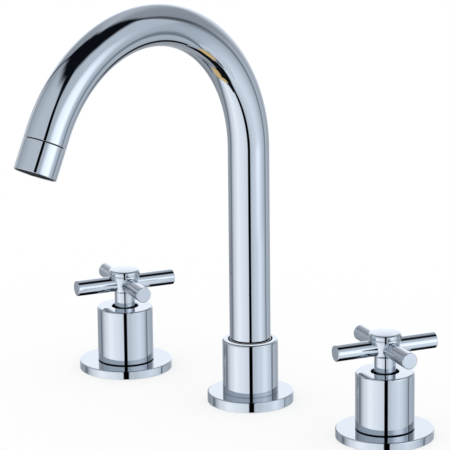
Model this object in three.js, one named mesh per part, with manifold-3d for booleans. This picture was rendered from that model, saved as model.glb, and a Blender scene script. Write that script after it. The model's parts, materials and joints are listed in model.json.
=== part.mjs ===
// Widespread basin faucet: an arched swivel spout between two cross-handle valves.
// Millimetres, Z up. The origin is on the deck surface, under the middle of the riser.
// X runs along the row towards the cold valve, and the outlet reaches out along -Y.

import * as THREE from "three";
import { mergeVertices } from "three/addons/utils/BufferGeometryUtils.js";
import Module from "manifold-3d";

// The row and the deck that it stands on
const handleSpacing = 203.2;
const handleTurnDegrees = 66;
const deckRoom = 30;

// Clearances
const fitClearance = 0.3;
const seatGap = 0.3;
const cutOverrun = 1;

// Spout tube
const tubeDiameter = 24;
const tubeWall = 1;
const bendRadius = 84;
const bendStartHeight = 151;
const bendDegrees = 153.5;
const tubeEndLength = 5.5;

// Aerator at the outlet
const aeratorLength = 18;
const aeratorBore = 20.3;
const aeratorEdge = 0.6;
const aeratorSpigotLength = 6;
const aeratorWaterway = 16;
const aeratorSeatDepth = 13;
const aeratorRecess = 1.5;
const aeratorWasherThickness = 1.4;
const sprayHoleDiameter = 1.8;
const sprayRingPitch = 3.6;

// Spout flange, collar and swivel
const spoutFlangeDiameter = 50.5;
const spoutFlangeThickness = 6;
const collarDiameter = 32.6;
const collarHeight = 31.5;
const collarBore = 25.4;
const collarEdge = 1.2;
const collarThreadWall = 1.7;
const shoulderHeight = 5;
const glideThickness = 1.3;
const footFlangeThickness = 2.6;
const footSleeveLength = 17;
const footBore = 17.2;
const spigotDiameter = 16.4;
const spigotRise = 21;
const spoutWaterway = 9;
const oRingThickness = 1.8;
const oRingLift = 5;
const oRingPitch = 7;

// Threaded shanks and what clamps them under the deck
const shankDiameter = 26.4;
const shankThreadLength = 20;
const inletDiameter = 20.9;
const inletLength = 18;
const rubberWasherThickness = 3;
const steelWasherThickness = 2;
const washerDiameter = 40;
const lockNutFlats = 36;
const lockNutThickness = 8;

// Handle flanges and bonnets
const handleFlangeDiameter = 56;
const handleFlangeThickness = 5;
const flangeEdge = 0.7;
const bonnetDiameter = 33.6;
const bonnetHeight = 33.2;
const bonnetWall = 2.3;
const bonnetTopThickness = 3;
const bonnetHole = 16;
const bonnetThreadLength = 8;
const bonnetEdge = 0.5;

// Gaskets in the flange undersides
const gasketWidth = 4;
const gasketDepth = 2;
const gasketRim = 4;

// Cross handle
const barDiameter = 9.3;
const barEdge = 0.5;
const handleSpan = 62;
const barLift = 14.3;
const hubDrop = 5.1;
const hubRise = 5.4;
const hubTopDiameter = 18.5;
const hubBottomDiameter = 13.1;
const neckDiameter = 12.3;
const capHeight = 3.4;
const capEdge = 1.2;
const capDome = 0.5;
const capPlugDepth = 1.6;
const hubRecessDiameter = 9;
const hubRecessWall = 1.4;
const screwHeadDiameter = 7.6;
const screwHeadThickness = 2.2;
const screwDiameter = 4;
const screwLength = 12;
const screwDriveFlats = 2.5;
const screwSeatThickness = 2.8;

// Valve cartridge and stem
const stemDiameter = 7.6;
const stemTapDepth = 11;
const stemFootThickness = 3;
const stemKeyLength = 8;
const stemKeyWidth = 2.6;
const stemKeyDepth = 1.2;
const discDiameter = 13.4;
const discThickness = 2.6;
const discPortDiameter = 3;
const discPortRadius = 3.9;
const sealHeight = 3.7;
const sealWidth = 2.4;
const barrelWall = 1.3;
const barrelHeadDiameter = 14;
const barrelHeadHeight = 7.2;
const barrelThreadLength = 4;
const barrelWindowWidth = 5;
const barrelNutFlats = 23;
const barrelNutThickness = 4;

// Valve body
const bodyTopHeight = 18;
const pocketDiameter = 19;
const pocketDepth = 15.3;
const valveWaterway = 7.4;
const valveDuctDiameter = 4.2;
const valveDuctRadius = 7.3;
const bodyDiameter = 31;
const bodyHeight = 25;
const branchReach = 27;
const branchBore = 9.4;
const inletMouth = 13;
const inletMouthDepth = 7;

// How finely the round shapes are cut
const wideSides = 28;
const tubeSides = 24;
const plainSides = 20;
const smallSides = 12;
const holeSides = 6;
const bendSteps = 18;
const edgeSteps = 2;
const oRingSides = 6;
const sprayRingCounts = [6, 10];

// Heights above the deck, from the bottom of each chain upwards
const quarterTurn = Math.PI / 2;
const bendAngle = THREE.MathUtils.degToRad(bendDegrees);
const tubeRadius = tubeDiameter / 2;
const tubeBore = tubeRadius - tubeWall;
const shankRadius = shankDiameter / 2;
const shankClearRadius = shankRadius + fitClearance;
const inletRadius = inletDiameter / 2;
const washersBottom = -deckRoom - rubberWasherThickness - steelWasherThickness;
const lockNutBottom = washersBottom - lockNutThickness;
const threadBottom = -deckRoom - shankThreadLength;

const collarThreadRadius = collarDiameter / 2 - collarThreadWall;
const shoulderRadius = collarThreadRadius - fitClearance;
const shoulderTop = spoutFlangeThickness + shoulderHeight;
const lowerGlideTop = shoulderTop + glideThickness;
const footBottom = lowerGlideTop + seatGap;
const footFlangeTop = footBottom + footFlangeThickness;
const tubeBottom = footFlangeTop + seatGap;
const upperGlideTop = tubeBottom + glideThickness;
const collarStepHeight = upperGlideTop + seatGap;
const collarTop = spoutFlangeThickness + collarHeight;

const pocketFloor = bodyTopHeight - pocketDepth;
const barrelBottom = pocketFloor + seatGap;
const sealTop = pocketFloor + sealHeight;
const fixedDiscBottom = sealTop + seatGap;
const movingDiscBottom = fixedDiscBottom + discThickness + seatGap;
const movingDiscTop = movingDiscBottom + discThickness;
const stemFootBottom = movingDiscTop + seatGap;
const stemFootTop = stemFootBottom + stemFootThickness;
const chamberTop = stemFootTop + seatGap;
const barrelNutTop = bodyTopHeight + barrelNutThickness;
const barrelTop = barrelNutTop + barrelHeadHeight;

const bonnetTop = handleFlangeThickness + bonnetHeight;
const barHeight = bonnetTop + barLift;
const hubBottom = barHeight - hubDrop;
const hubTop = barHeight + hubRise;
const neckBottom = barrelTop + seatGap;
const capPlugBottom = hubTop - capPlugDepth;
const screwHeadTop = capPlugBottom - seatGap;
const recessFloor = screwHeadTop - screwHeadThickness;
const stemSocketTop = recessFloor - screwSeatThickness;
const stemTop = stemSocketTop - seatGap;
const barSeatRadius = hubRecessDiameter / 2 + hubRecessWall;

// Finishes, each made anew for the mesh that wears it
const chrome = { color: 0xdfe4ea, metalness: 1, roughness: 0.05 };
const brass = { color: 0xb8934f, metalness: 1, roughness: 0.35 };
const steel = { color: 0xaeb2b6, metalness: 1, roughness: 0.3 };
const rubber = { color: 0x1d1e20, metalness: 0, roughness: 0.8 };
const ceramic = { color: 0xf1efe8, metalness: 0, roughness: 0.25 };
const nylon = { color: 0xe4e2dc, metalness: 0, roughness: 0.5 };
const sprayPlastic = { color: 0x55595e, metalness: 0, roughness: 0.5 };

function piece(name, geometry, finish) {
  const mesh = new THREE.Mesh(geometry, new THREE.MeshStandardMaterial(finish));
  mesh.name = name;
  return mesh;
}

// A shape turned about Z from [radius, height] points that run anticlockwise
function turned(outline, sides) {
  const points = outline.map(([radius, height]) => new THREE.Vector2(radius, height));
  return new THREE.LatheGeometry(points, sides).rotateX(quarterTurn);
}

function closed(outline) {
  return [...outline, outline[0]];
}

function turnedRod(radius, bottom, top, sides) {
  return turned([[0, bottom], [radius, bottom], [radius, top], [0, top]], sides);
}

function turnedRing(inner, outer, bottom, top, sides) {
  return turned(closed([[inner, bottom], [outer, bottom], [outer, top], [inner, top]]), sides);
}

// The points of a quarter round that turns from the side of a rim onto its top
function roundedRim(radius, top, edge, steps) {
  const points = [];
  for (let i = 0; i <= steps; i++) {
    const angle = quarterTurn * (i / steps);
    points.push([radius - edge * (1 - Math.cos(angle)), top - edge * (1 - Math.sin(angle))]);
  }
  return points;
}

// A rod that lies along X, from one distance to another
function crossRod(radius, from, to, sides) {
  return turnedRod(radius, from, to, sides).rotateY(quarterTurn);
}

function hexShape(flats) {
  const corner = flats / Math.sqrt(3);
  const points = [];
  for (let i = 0; i < 6; i++) {
    const angle = (i * Math.PI) / 3;
    points.push(new THREE.Vector2(corner * Math.cos(angle), corner * Math.sin(angle)));
  }
  return new THREE.Shape(points);
}

function circle(radius, sides, x = 0, y = 0) {
  const points = [];
  for (let i = 0; i < sides; i++) {
    const angle = (i * 4 * quarterTurn) / sides;
    points.push(new THREE.Vector2(x + radius * Math.cos(angle), y + radius * Math.sin(angle)));
  }
  return points;
}

function pierced(shape, radius, sides, x, y) {
  shape.holes.push(new THREE.Path(circle(radius, sides, x, y)));
}

function plate(shape, bottom, top) {
  const options = { depth: top - bottom, bevelEnabled: false };
  return new THREE.ExtrudeGeometry(shape, options).translate(0, 0, bottom);
}

function hexRing(flats, bore, bottom, top) {
  const shape = hexShape(flats);
  pierced(shape, bore, plainSides);
  return plate(shape, bottom, top);
}

const wasm = await Module();
wasm.setup();

function solid(geometry) {
  const bare = geometry.clone();
  bare.deleteAttribute("normal");
  bare.deleteAttribute("uv");
  const merged = mergeVertices(bare, 0.0001);
  return new wasm.Manifold(
    new wasm.Mesh({
      numProp: 3,
      vertProperties: new Float32Array(merged.attributes.position.array),
      triVerts: new Uint32Array(merged.index.array),
    })
  );
}

function geometryOf(manifold) {
  const mesh = manifold.getMesh();
  const geometry = new THREE.BufferGeometry();
  geometry.setAttribute("position", new THREE.BufferAttribute(mesh.vertProperties, mesh.numProp));
  geometry.setIndex(new THREE.BufferAttribute(mesh.triVerts, 1));
  geometry.computeVertexNormals();
  return geometry;
}

function joined(first, ...others) {
  return others.reduce((whole, other) => whole.add(solid(other)), solid(first));
}

function cut(whole, ...tools) {
  return geometryOf(tools.reduce((rest, tool) => rest.subtract(solid(tool)), whole));
}

// A flange with a groove for its gasket in the underside
function flange(diameter, thickness) {
  const rim = diameter / 2;
  const grooveOuter = rim - gasketRim;
  const grooveInner = grooveOuter - gasketWidth;
  const outline = [
    [shankClearRadius, 0],
    [grooveInner, 0],
    [grooveInner, gasketDepth],
    [grooveOuter, gasketDepth],
    [grooveOuter, 0],
    [rim, 0],
    [rim, thickness - flangeEdge],
    [rim - flangeEdge, thickness],
    [shankClearRadius, thickness],
  ];
  return turned(closed(outline), wideSides);
}

function gasket(diameter) {
  const outer = diameter / 2 - gasketRim - fitClearance;
  const inner = outer - gasketWidth + 2 * fitClearance;
  return turnedRing(inner, outer, 0, gasketDepth - seatGap, plainSides);
}

// The washers and the nut that pull a shank down against the deck
function deckClamp(side) {
  const rubberBottom = -deckRoom - rubberWasherThickness;
  const washerRadius = washerDiameter / 2;
  const washer = (bottom, top) =>
    turnedRing(shankClearRadius, washerRadius, bottom, top, plainSides);
  return [
    piece(`${side}_rubber_washer`, washer(rubberBottom, -deckRoom), rubber),
    piece(`${side}_steel_washer`, washer(washersBottom, rubberBottom), steel),
    piece(
      `${side}_lock_nut`,
      hexRing(lockNutFlats, shankClearRadius, lockNutBottom, washersBottom),
      brass
    ),
  ];
}

// The tube's centre line: one step up the riser, even steps round the bend, one step to its end
class SpoutLine extends THREE.Curve {
  stepsAlong(t) {
    const steps = t * (bendSteps + 2);
    const bent = THREE.MathUtils.clamp(steps - 1, 0, bendSteps);
    return {
      riser: Math.min(steps, 1),
      angle: (bent / bendSteps) * bendAngle,
      end: Math.max(steps - 1 - bendSteps, 0),
    };
  }

  getPoint(t, target = new THREE.Vector3()) {
    const { riser, angle, end } = this.stepsAlong(t);
    const straight = end * tubeEndLength;
    const out = bendRadius * (1 - Math.cos(angle)) + straight * Math.sin(angle);
    const up = bendRadius * Math.sin(angle) + straight * Math.cos(angle);
    return target.set(0, -out, THREE.MathUtils.lerp(tubeBottom, bendStartHeight, riser) + up);
  }

  getTangent(t, target = new THREE.Vector3()) {
    const { angle } = this.stepsAlong(t);
    return target.set(0, -Math.sin(angle), Math.cos(angle));
  }

  getUtoTmapping(u) {
    return u;
  }
}

const spoutLine = new SpoutLine();

function spoutTube() {
  const shape = new THREE.Shape(circle(tubeRadius, tubeSides));
  pierced(shape, tubeBore, tubeSides);
  return new THREE.ExtrudeGeometry(shape, { extrudePath: spoutLine, steps: bendSteps + 2 });
}

// The ferrule fixed in the tube's lower end, whose flange turns between the two glide rings
function spoutFoot() {
  const sleeve = tubeBore - fitClearance;
  const flangeRadius = collarThreadRadius - 2 * fitClearance;
  const top = footFlangeTop + footSleeveLength;
  const outline = [
    [footBore / 2, footBottom],
    [flangeRadius, footBottom],
    [flangeRadius, footFlangeTop],
    [sleeve, footFlangeTop],
    [sleeve, top],
    [footBore / 2, top],
  ];
  return turned(closed(outline), plainSides);
}

function spoutCollar() {
  const outline = [
    [collarThreadRadius, spoutFlangeThickness],
    [collarDiameter / 2, spoutFlangeThickness],
    ...roundedRim(collarDiameter / 2, collarTop, collarEdge, edgeSteps),
    [collarBore / 2, collarTop],
    [collarBore / 2, collarStepHeight],
    [collarThreadRadius, collarStepHeight],
  ];
  return turned(closed(outline), wideSides);
}

function oRingHeights() {
  return [0, 1].map((i) => shoulderTop + oRingLift + i * oRingPitch);
}

function spoutShank() {
  const spigot = spigotDiameter / 2;
  const grooveFloor = spigot - oRingThickness;
  const grooveHalf = oRingThickness / 2 + fitClearance;
  const grooves = oRingHeights().flatMap((height) => [
    [spigot, height - grooveHalf],
    [grooveFloor, height - grooveHalf],
    [grooveFloor, height + grooveHalf],
    [spigot, height + grooveHalf],
  ]);
  const outline = [
    [spoutWaterway / 2, threadBottom - inletLength],
    [inletRadius, threadBottom - inletLength],
    [inletRadius, threadBottom],
    [shankRadius, threadBottom],
    [shankRadius, spoutFlangeThickness],
    [shoulderRadius, spoutFlangeThickness],
    [shoulderRadius, shoulderTop],
    [spigot, shoulderTop],
    ...grooves,
    [spigot, shoulderTop + spigotRise],
    [spoutWaterway / 2, shoulderTop + spigotRise],
  ];
  return turned(closed(outline), plainSides);
}

function oRing(height) {
  const half = oRingThickness / 2;
  const middle = footBore / 2 - fitClearance - half;
  const outline = [];
  for (let i = 0; i <= oRingSides; i++) {
    const angle = (i % oRingSides) * ((4 * quarterTurn) / oRingSides);
    outline.push([middle + half * Math.cos(angle), height + half * Math.sin(angle)]);
  }
  return turned(outline, plainSides);
}

function aeratorHousing() {
  const spigot = tubeBore - fitClearance;
  const bore = aeratorBore / 2;
  const seat = aeratorLength - aeratorSeatDepth;
  const outline = [
    [aeratorWaterway / 2, -aeratorSpigotLength],
    [spigot, -aeratorSpigotLength],
    [spigot, seatGap],
    [tubeRadius, seatGap],
    ...roundedRim(tubeRadius, aeratorLength, aeratorEdge, edgeSteps),
    [bore, aeratorLength],
    [bore, seat],
    [aeratorWaterway / 2, seat],
  ];
  return turned(closed(outline), wideSides);
}

function aeratorWasher() {
  const bottom = aeratorLength - aeratorSeatDepth + seatGap;
  const outer = aeratorBore / 2 - fitClearance;
  return turnedRing(aeratorWaterway / 2, outer, bottom, bottom + aeratorWasherThickness, plainSides);
}

// The spray disc, pierced by rings of holes round one in the middle
function aeratorInsert() {
  const hole = sprayHoleDiameter / 2;
  const shape = new THREE.Shape(circle(aeratorBore / 2 - fitClearance, wideSides));
  pierced(shape, hole, holeSides);
  sprayRingCounts.forEach((count, ring) => {
    for (const place of circle(sprayRingPitch * (ring + 1), count)) {
      pierced(shape, hole, holeSides, place.x, place.y);
    }
  });
  const seat = aeratorLength - aeratorSeatDepth;
  return plate(shape, seat + aeratorWasherThickness + 2 * seatGap, aeratorLength - aeratorRecess);
}

function spout() {
  const group = new THREE.Group();
  group.add(
    piece("spout_tube", spoutTube(), chrome),
    piece("spout_foot", spoutFoot(), brass),
    piece("spout_collar", spoutCollar(), chrome),
    piece("spout_flange", flange(spoutFlangeDiameter, spoutFlangeThickness), chrome),
    piece("spout_gasket", gasket(spoutFlangeDiameter), rubber),
    piece("spout_shank", spoutShank(), brass),
    piece(
      "swivel_glide_lower",
      turnedRing(footBore / 2, shoulderRadius, shoulderTop, lowerGlideTop, plainSides),
      nylon
    ),
    piece(
      "swivel_glide_upper",
      turnedRing(tubeRadius + fitClearance, shoulderRadius, tubeBottom, upperGlideTop, plainSides),
      nylon
    ),
    ...oRingHeights().map((height, i) => piece(`swivel_o_ring_${i + 1}`, oRing(height), rubber)),
    ...deckClamp("spout")
  );
  const aerator = new THREE.Group();
  aerator.position.copy(spoutLine.getPoint(1));
  aerator.rotation.x = bendAngle;
  aerator.add(
    piece("aerator_housing", aeratorHousing(), chrome),
    piece("aerator_washer", aeratorWasher(), rubber),
    piece("aerator_insert", aeratorInsert(), sprayPlastic)
  );
  group.add(aerator);
  return group;
}

// The cover over the cartridge, threaded inside its foot and open at the top for the neck
function bonnet() {
  const outer = bonnetDiameter / 2;
  const hole = bonnetHole / 2;
  const relief = outer - bonnetWall;
  const ceiling = bonnetTop - bonnetTopThickness;
  const threadTop = handleFlangeThickness + bonnetThreadLength;
  const outline = [
    [shankClearRadius, handleFlangeThickness],
    [outer, handleFlangeThickness],
    ...roundedRim(outer, bonnetTop, bonnetEdge, 1),
    [hole, bonnetTop],
    [hole, ceiling],
    [relief, ceiling],
    [relief, threadTop],
    [shankClearRadius, threadTop],
  ];
  return turned(closed(outline), wideSides);
}

// The valve's brass body: inlet below, pocket for the cartridge above, outlet branch towards the spout
function valveBody() {
  const branchHeight = threadBottom - bodyHeight / 2;
  const inletTop = threadBottom - bodyHeight;
  const inletBottom = inletTop - inletLength;
  const outline = [
    [0, inletBottom],
    [inletRadius, inletBottom],
    [inletRadius, inletTop],
    [bodyDiameter / 2, inletTop],
    [bodyDiameter / 2, threadBottom],
    [shankRadius, threadBottom],
    [shankRadius, bodyTopHeight],
    [0, bodyTopHeight],
  ];
  const branch = crossRod(inletRadius, 0, branchReach, plainSides).translate(0, 0, branchHeight);
  const port = crossRod(
    branchBore / 2, valveDuctRadius - valveDuctDiameter / 2, branchReach + cutOverrun, smallSides
  ).translate(0, 0, branchHeight);
  const duct = turnedRod(
    valveDuctDiameter / 2, branchHeight, pocketFloor + cutOverrun, smallSides
  ).translate(valveDuctRadius, 0, 0);
  return cut(
    joined(turned(outline, plainSides), branch),
    turnedRod(pocketDiameter / 2, pocketFloor, bodyTopHeight + cutOverrun, plainSides),
    turnedRod(valveWaterway / 2, inletBottom - cutOverrun, pocketFloor + cutOverrun, smallSides),
    turnedRod(inletMouth / 2, inletBottom - cutOverrun, inletBottom + inletMouthDepth, smallSides),
    duct,
    port
  );
}

// The cartridge's barrel, with its hexagon on the body's rim and windows beside the discs
function cartridgeBarrel() {
  const chamber = discDiameter / 2 + fitClearance;
  const stemHole = stemDiameter / 2 + fitClearance;
  const head = barrelHeadDiameter / 2;
  const thread = pocketDiameter / 2 - fitClearance;
  const threadStart = bodyTopHeight - barrelThreadLength;
  const outline = [
    [chamber, barrelBottom],
    [chamber + barrelWall, barrelBottom],
    [chamber + barrelWall, threadStart],
    [thread, threadStart],
    [thread, bodyTopHeight],
    [head, bodyTopHeight],
    [head, barrelTop],
    [stemHole, barrelTop],
    [stemHole, chamberTop],
    [chamber, chamberTop],
  ];
  const nut = hexRing(barrelNutFlats, (stemHole + head) / 2, bodyTopHeight, barrelNutTop);
  const windowHeight = movingDiscTop - movingDiscBottom;
  const window = new THREE.BoxGeometry(pocketDiameter, barrelWindowWidth, windowHeight);
  window.translate(0, 0, (movingDiscTop + movingDiscBottom) / 2);
  return cut(joined(turned(closed(outline), plainSides), nut), window);
}

// A ceramic disc with two ports on one line through its middle
function disc(bottom, lineAngle) {
  const shape = new THREE.Shape(circle(discDiameter / 2, smallSides));
  for (const angle of [lineAngle, lineAngle + 2 * quarterTurn]) {
    const x = discPortRadius * Math.cos(angle);
    const y = discPortRadius * Math.sin(angle);
    pierced(shape, discPortDiameter / 2, smallSides, x, y);
  }
  return plate(shape, bottom, bottom + discThickness);
}

function movingDisc() {
  const slot = new THREE.BoxGeometry(
    stemKeyWidth + 2 * fitClearance,
    stemKeyLength + 2 * fitClearance,
    2 * stemKeyDepth
  ).translate(0, 0, movingDiscTop);
  return cut(solid(disc(movingDiscBottom, 0)), slot);
}

function fixedDisc() {
  return disc(fixedDiscBottom, quarterTurn);
}

// The stem, with the key that drives the moving disc and a tapped hole for the handle's screw
function stem() {
  const tap = screwDiameter / 2 + fitClearance;
  const outline = [
    [0, stemFootBottom],
    [discDiameter / 2, stemFootBottom],
    [discDiameter / 2, stemFootTop],
    [stemDiameter / 2, stemFootTop],
    [stemDiameter / 2, stemTop],
    [tap, stemTop],
    [tap, stemTop - stemTapDepth],
    [0, stemTop - stemTapDepth],
  ];
  const key = new THREE.BoxGeometry(stemKeyWidth, stemKeyLength, 2 * stemKeyDepth);
  key.translate(0, 0, stemFootBottom);
  return geometryOf(joined(turned(outline, smallSides), key));
}

function seatSeal() {
  const outer = discDiameter / 2;
  return turnedRing(outer - sealWidth, outer, pocketFloor, sealTop, smallSides);
}

// The hub: a neck in the bonnet's hole, and an upturned cone with a socket for each bar
function hub() {
  const stemSocket = stemDiameter / 2 + fitClearance;
  const screwHole = screwDiameter / 2 + fitClearance;
  const recess = hubRecessDiameter / 2;
  const outline = [
    [stemSocket, neckBottom],
    [neckDiameter / 2, neckBottom],
    [neckDiameter / 2, hubBottom],
    [hubBottomDiameter / 2, hubBottom],
    [hubTopDiameter / 2, hubTop],
    [recess, hubTop],
    [recess, recessFloor],
    [screwHole, recessFloor],
    [screwHole, stemSocketTop],
    [stemSocket, stemSocketTop],
  ];
  const reach = hubTopDiameter / 2 + cutOverrun;
  const sockets = [0, 1, 2, 3].map((i) =>
    crossRod(barDiameter / 2 + fitClearance, barSeatRadius, reach, plainSides)
      .rotateZ(i * quarterTurn)
      .translate(0, 0, barHeight)
  );
  return cut(solid(turned(closed(outline), plainSides)), ...sockets);
}

function bar(turn) {
  const radius = barDiameter / 2;
  const start = barSeatRadius + seatGap;
  const end = handleSpan / 2;
  const outline = [
    [0, start],
    [radius, start],
    [radius, end - barEdge],
    [radius - barEdge, end],
    [0, end],
  ];
  return turned(outline, plainSides).rotateY(quarterTurn).rotateZ(turn).translate(0, 0, barHeight);
}

function indexCap() {
  const rim = hubTopDiameter / 2;
  const plug = hubRecessDiameter / 2 - fitClearance;
  const outline = [
    [0, capPlugBottom],
    [plug, capPlugBottom],
    [plug, hubTop],
    [rim, hubTop],
    ...roundedRim(rim, hubTop + capHeight - capDome, capEdge, edgeSteps),
    [0, hubTop + capHeight],
  ];
  return turned(outline, plainSides);
}

function handleScrew() {
  const head = screwHeadDiameter / 2;
  const shaft = screwDiameter / 2;
  const outline = [
    [0, recessFloor - screwLength],
    [shaft, recessFloor - screwLength],
    [shaft, recessFloor],
    [head, recessFloor],
    [head, screwHeadTop],
    [0, screwHeadTop],
  ];
  const driveBottom = recessFloor + screwHeadThickness / 3;
  const drive = plate(hexShape(screwDriveFlats), driveBottom, screwHeadTop + cutOverrun);
  return cut(solid(turned(outline, smallSides)), drive);
}

function crossHandle(side) {
  const group = new THREE.Group();
  group.rotation.z = THREE.MathUtils.degToRad(handleTurnDegrees);
  group.add(
    piece(`${side}_handle_hub`, hub(), chrome),
    ...[0, 1, 2, 3].map((i) =>
      piece(`${side}_handle_bar_${i + 1}`, bar(i * quarterTurn), chrome)
    ),
    piece(`${side}_index_cap`, indexCap(), chrome),
    piece(`${side}_handle_screw`, handleScrew(), steel)
  );
  return group;
}

// One valve with its handle; facing turns its outlet branch towards the spout
function valveUnit(side, x, facing) {
  const unit = new THREE.Group();
  unit.position.x = x;
  const fixed = new THREE.Group();
  fixed.rotation.z = facing;
  fixed.add(
    piece(`${side}_flange`, flange(handleFlangeDiameter, handleFlangeThickness), chrome),
    piece(`${side}_gasket`, gasket(handleFlangeDiameter), rubber),
    piece(`${side}_bonnet`, bonnet(), chrome),
    piece(`${side}_valve_body`, valveBody(), brass),
    piece(`${side}_cartridge_barrel`, cartridgeBarrel(), brass),
    piece(`${side}_seat_seal`, seatSeal(), rubber),
    piece(`${side}_fixed_disc`, fixedDisc(), ceramic),
    piece(`${side}_moving_disc`, movingDisc(), ceramic),
    piece(`${side}_valve_stem`, stem(), brass),
    ...deckClamp(side)
  );
  unit.add(fixed, crossHandle(side));
  return unit;
}

const group = new THREE.Group();
group.add(
  spout(),
  valveUnit("hot", -handleSpacing / 2, 0),
  valveUnit("cold", handleSpacing / 2, 2 * quarterTurn)
);

export default group;
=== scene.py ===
import json
import math

import bmesh
import bpy
from mathutils import Matrix, Vector


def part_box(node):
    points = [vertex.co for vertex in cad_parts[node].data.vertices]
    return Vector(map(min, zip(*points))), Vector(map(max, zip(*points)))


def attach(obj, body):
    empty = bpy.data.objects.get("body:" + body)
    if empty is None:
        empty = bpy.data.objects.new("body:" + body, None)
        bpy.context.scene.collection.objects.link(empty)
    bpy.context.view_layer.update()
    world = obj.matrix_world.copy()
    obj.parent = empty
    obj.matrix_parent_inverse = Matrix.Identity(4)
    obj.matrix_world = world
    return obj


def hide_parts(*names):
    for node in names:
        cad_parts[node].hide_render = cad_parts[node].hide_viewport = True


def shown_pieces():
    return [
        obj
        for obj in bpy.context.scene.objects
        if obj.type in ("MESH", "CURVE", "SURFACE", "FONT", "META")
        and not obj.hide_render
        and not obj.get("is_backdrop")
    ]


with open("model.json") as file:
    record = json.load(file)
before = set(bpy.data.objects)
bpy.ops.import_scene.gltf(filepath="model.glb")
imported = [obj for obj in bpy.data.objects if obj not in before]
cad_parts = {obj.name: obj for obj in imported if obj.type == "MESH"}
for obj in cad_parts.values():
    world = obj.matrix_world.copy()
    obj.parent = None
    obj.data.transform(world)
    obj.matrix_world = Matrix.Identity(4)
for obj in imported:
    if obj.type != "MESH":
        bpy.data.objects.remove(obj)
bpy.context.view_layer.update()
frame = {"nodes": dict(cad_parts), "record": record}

print("The frame is loaded")

nodeBodies = {}          # which body each CAD node moves with
for bodyName, members in frame["record"]["behaviour"]["bodies"].items():
    for member in members:
        nodeBodies[member] = bodyName


# The camera stands where the photograph was taken from
cameraValues = {
    "azimuth": 42.6,         # degrees round from the spout's own plane
    "elevation": 14.75,      # degrees above the deck
    "roll": 0.62,
    "distance": 1.814,       # from the middle of the spout's foot
    "photoSize": 450,        # pixels along one side of the square frame
    "footPixel": (250.75, 399.5),
    "metresPerPixel": 0.000585,
    "sensor": 36,
}

turn = math.radians(cameraValues["azimuth"])
tilt = math.radians(cameraValues["elevation"])
rightward = Vector((math.cos(turn), math.sin(turn), 0))       # to the right in the picture
towardCamera = Vector((math.sin(turn), -math.cos(turn), 0))   # level, from the spout to the camera


def makeCamera():
    v = cameraValues
    roll = math.radians(v["roll"])
    upward = Vector((0, 0, 1)) * math.cos(tilt) - towardCamera * math.sin(tilt)
    ahead = -(towardCamera * math.cos(tilt) + Vector((0, 0, 1)) * math.sin(tilt))
    side = rightward * math.cos(roll) - upward * math.sin(roll)
    top = rightward * math.sin(roll) + upward * math.cos(roll)
    middle = v["photoSize"] / 2
    across = (v["footPixel"][0] - middle) * v["metresPerPixel"]
    down = (v["footPixel"][1] - middle) * v["metresPerPixel"]
    data = bpy.data.cameras.new("photoCamera")
    data.sensor_width = v["sensor"]
    data.lens = v["sensor"] * v["distance"] / (v["metresPerPixel"] * v["photoSize"])
    camera = bpy.data.objects.new("photoCamera", data)
    bpy.context.scene.collection.objects.link(camera)
    camera.matrix_world = Matrix((side, top, -ahead)).transposed().to_4x4()
    camera.location = down * top - across * side - v["distance"] * ahead
    bpy.context.scene.camera = camera


makeCamera()
print("The camera is set")


# A value or a colour on its way through a node tree
class Signal:
    def __init__(self, sheet, socket):
        self.sheet = sheet
        self.socket = socket

    def __add__(self, other):
        return self.sheet.maths("ADD", self, other)

    __radd__ = __add__

    def __sub__(self, other):
        return self.sheet.maths("SUBTRACT", self, other)

    def __rsub__(self, other):
        return self.sheet.maths("SUBTRACT", other, self)

    def __mul__(self, other):
        return self.sheet.maths("MULTIPLY", self, other)

    __rmul__ = __mul__

    def __truediv__(self, other):
        return self.sheet.maths("DIVIDE", self, other)

    def __rtruediv__(self, other):
        return self.sheet.maths("DIVIDE", other, self)

    def __pow__(self, other):
        return self.sheet.maths("POWER", self, other)

    def __rpow__(self, other):
        return self.sheet.maths("POWER", other, self)

    def __gt__(self, other):
        return self.sheet.maths("GREATER_THAN", self, other)

    def __lt__(self, other):
        return self.sheet.maths("LESS_THAN", self, other)


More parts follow.
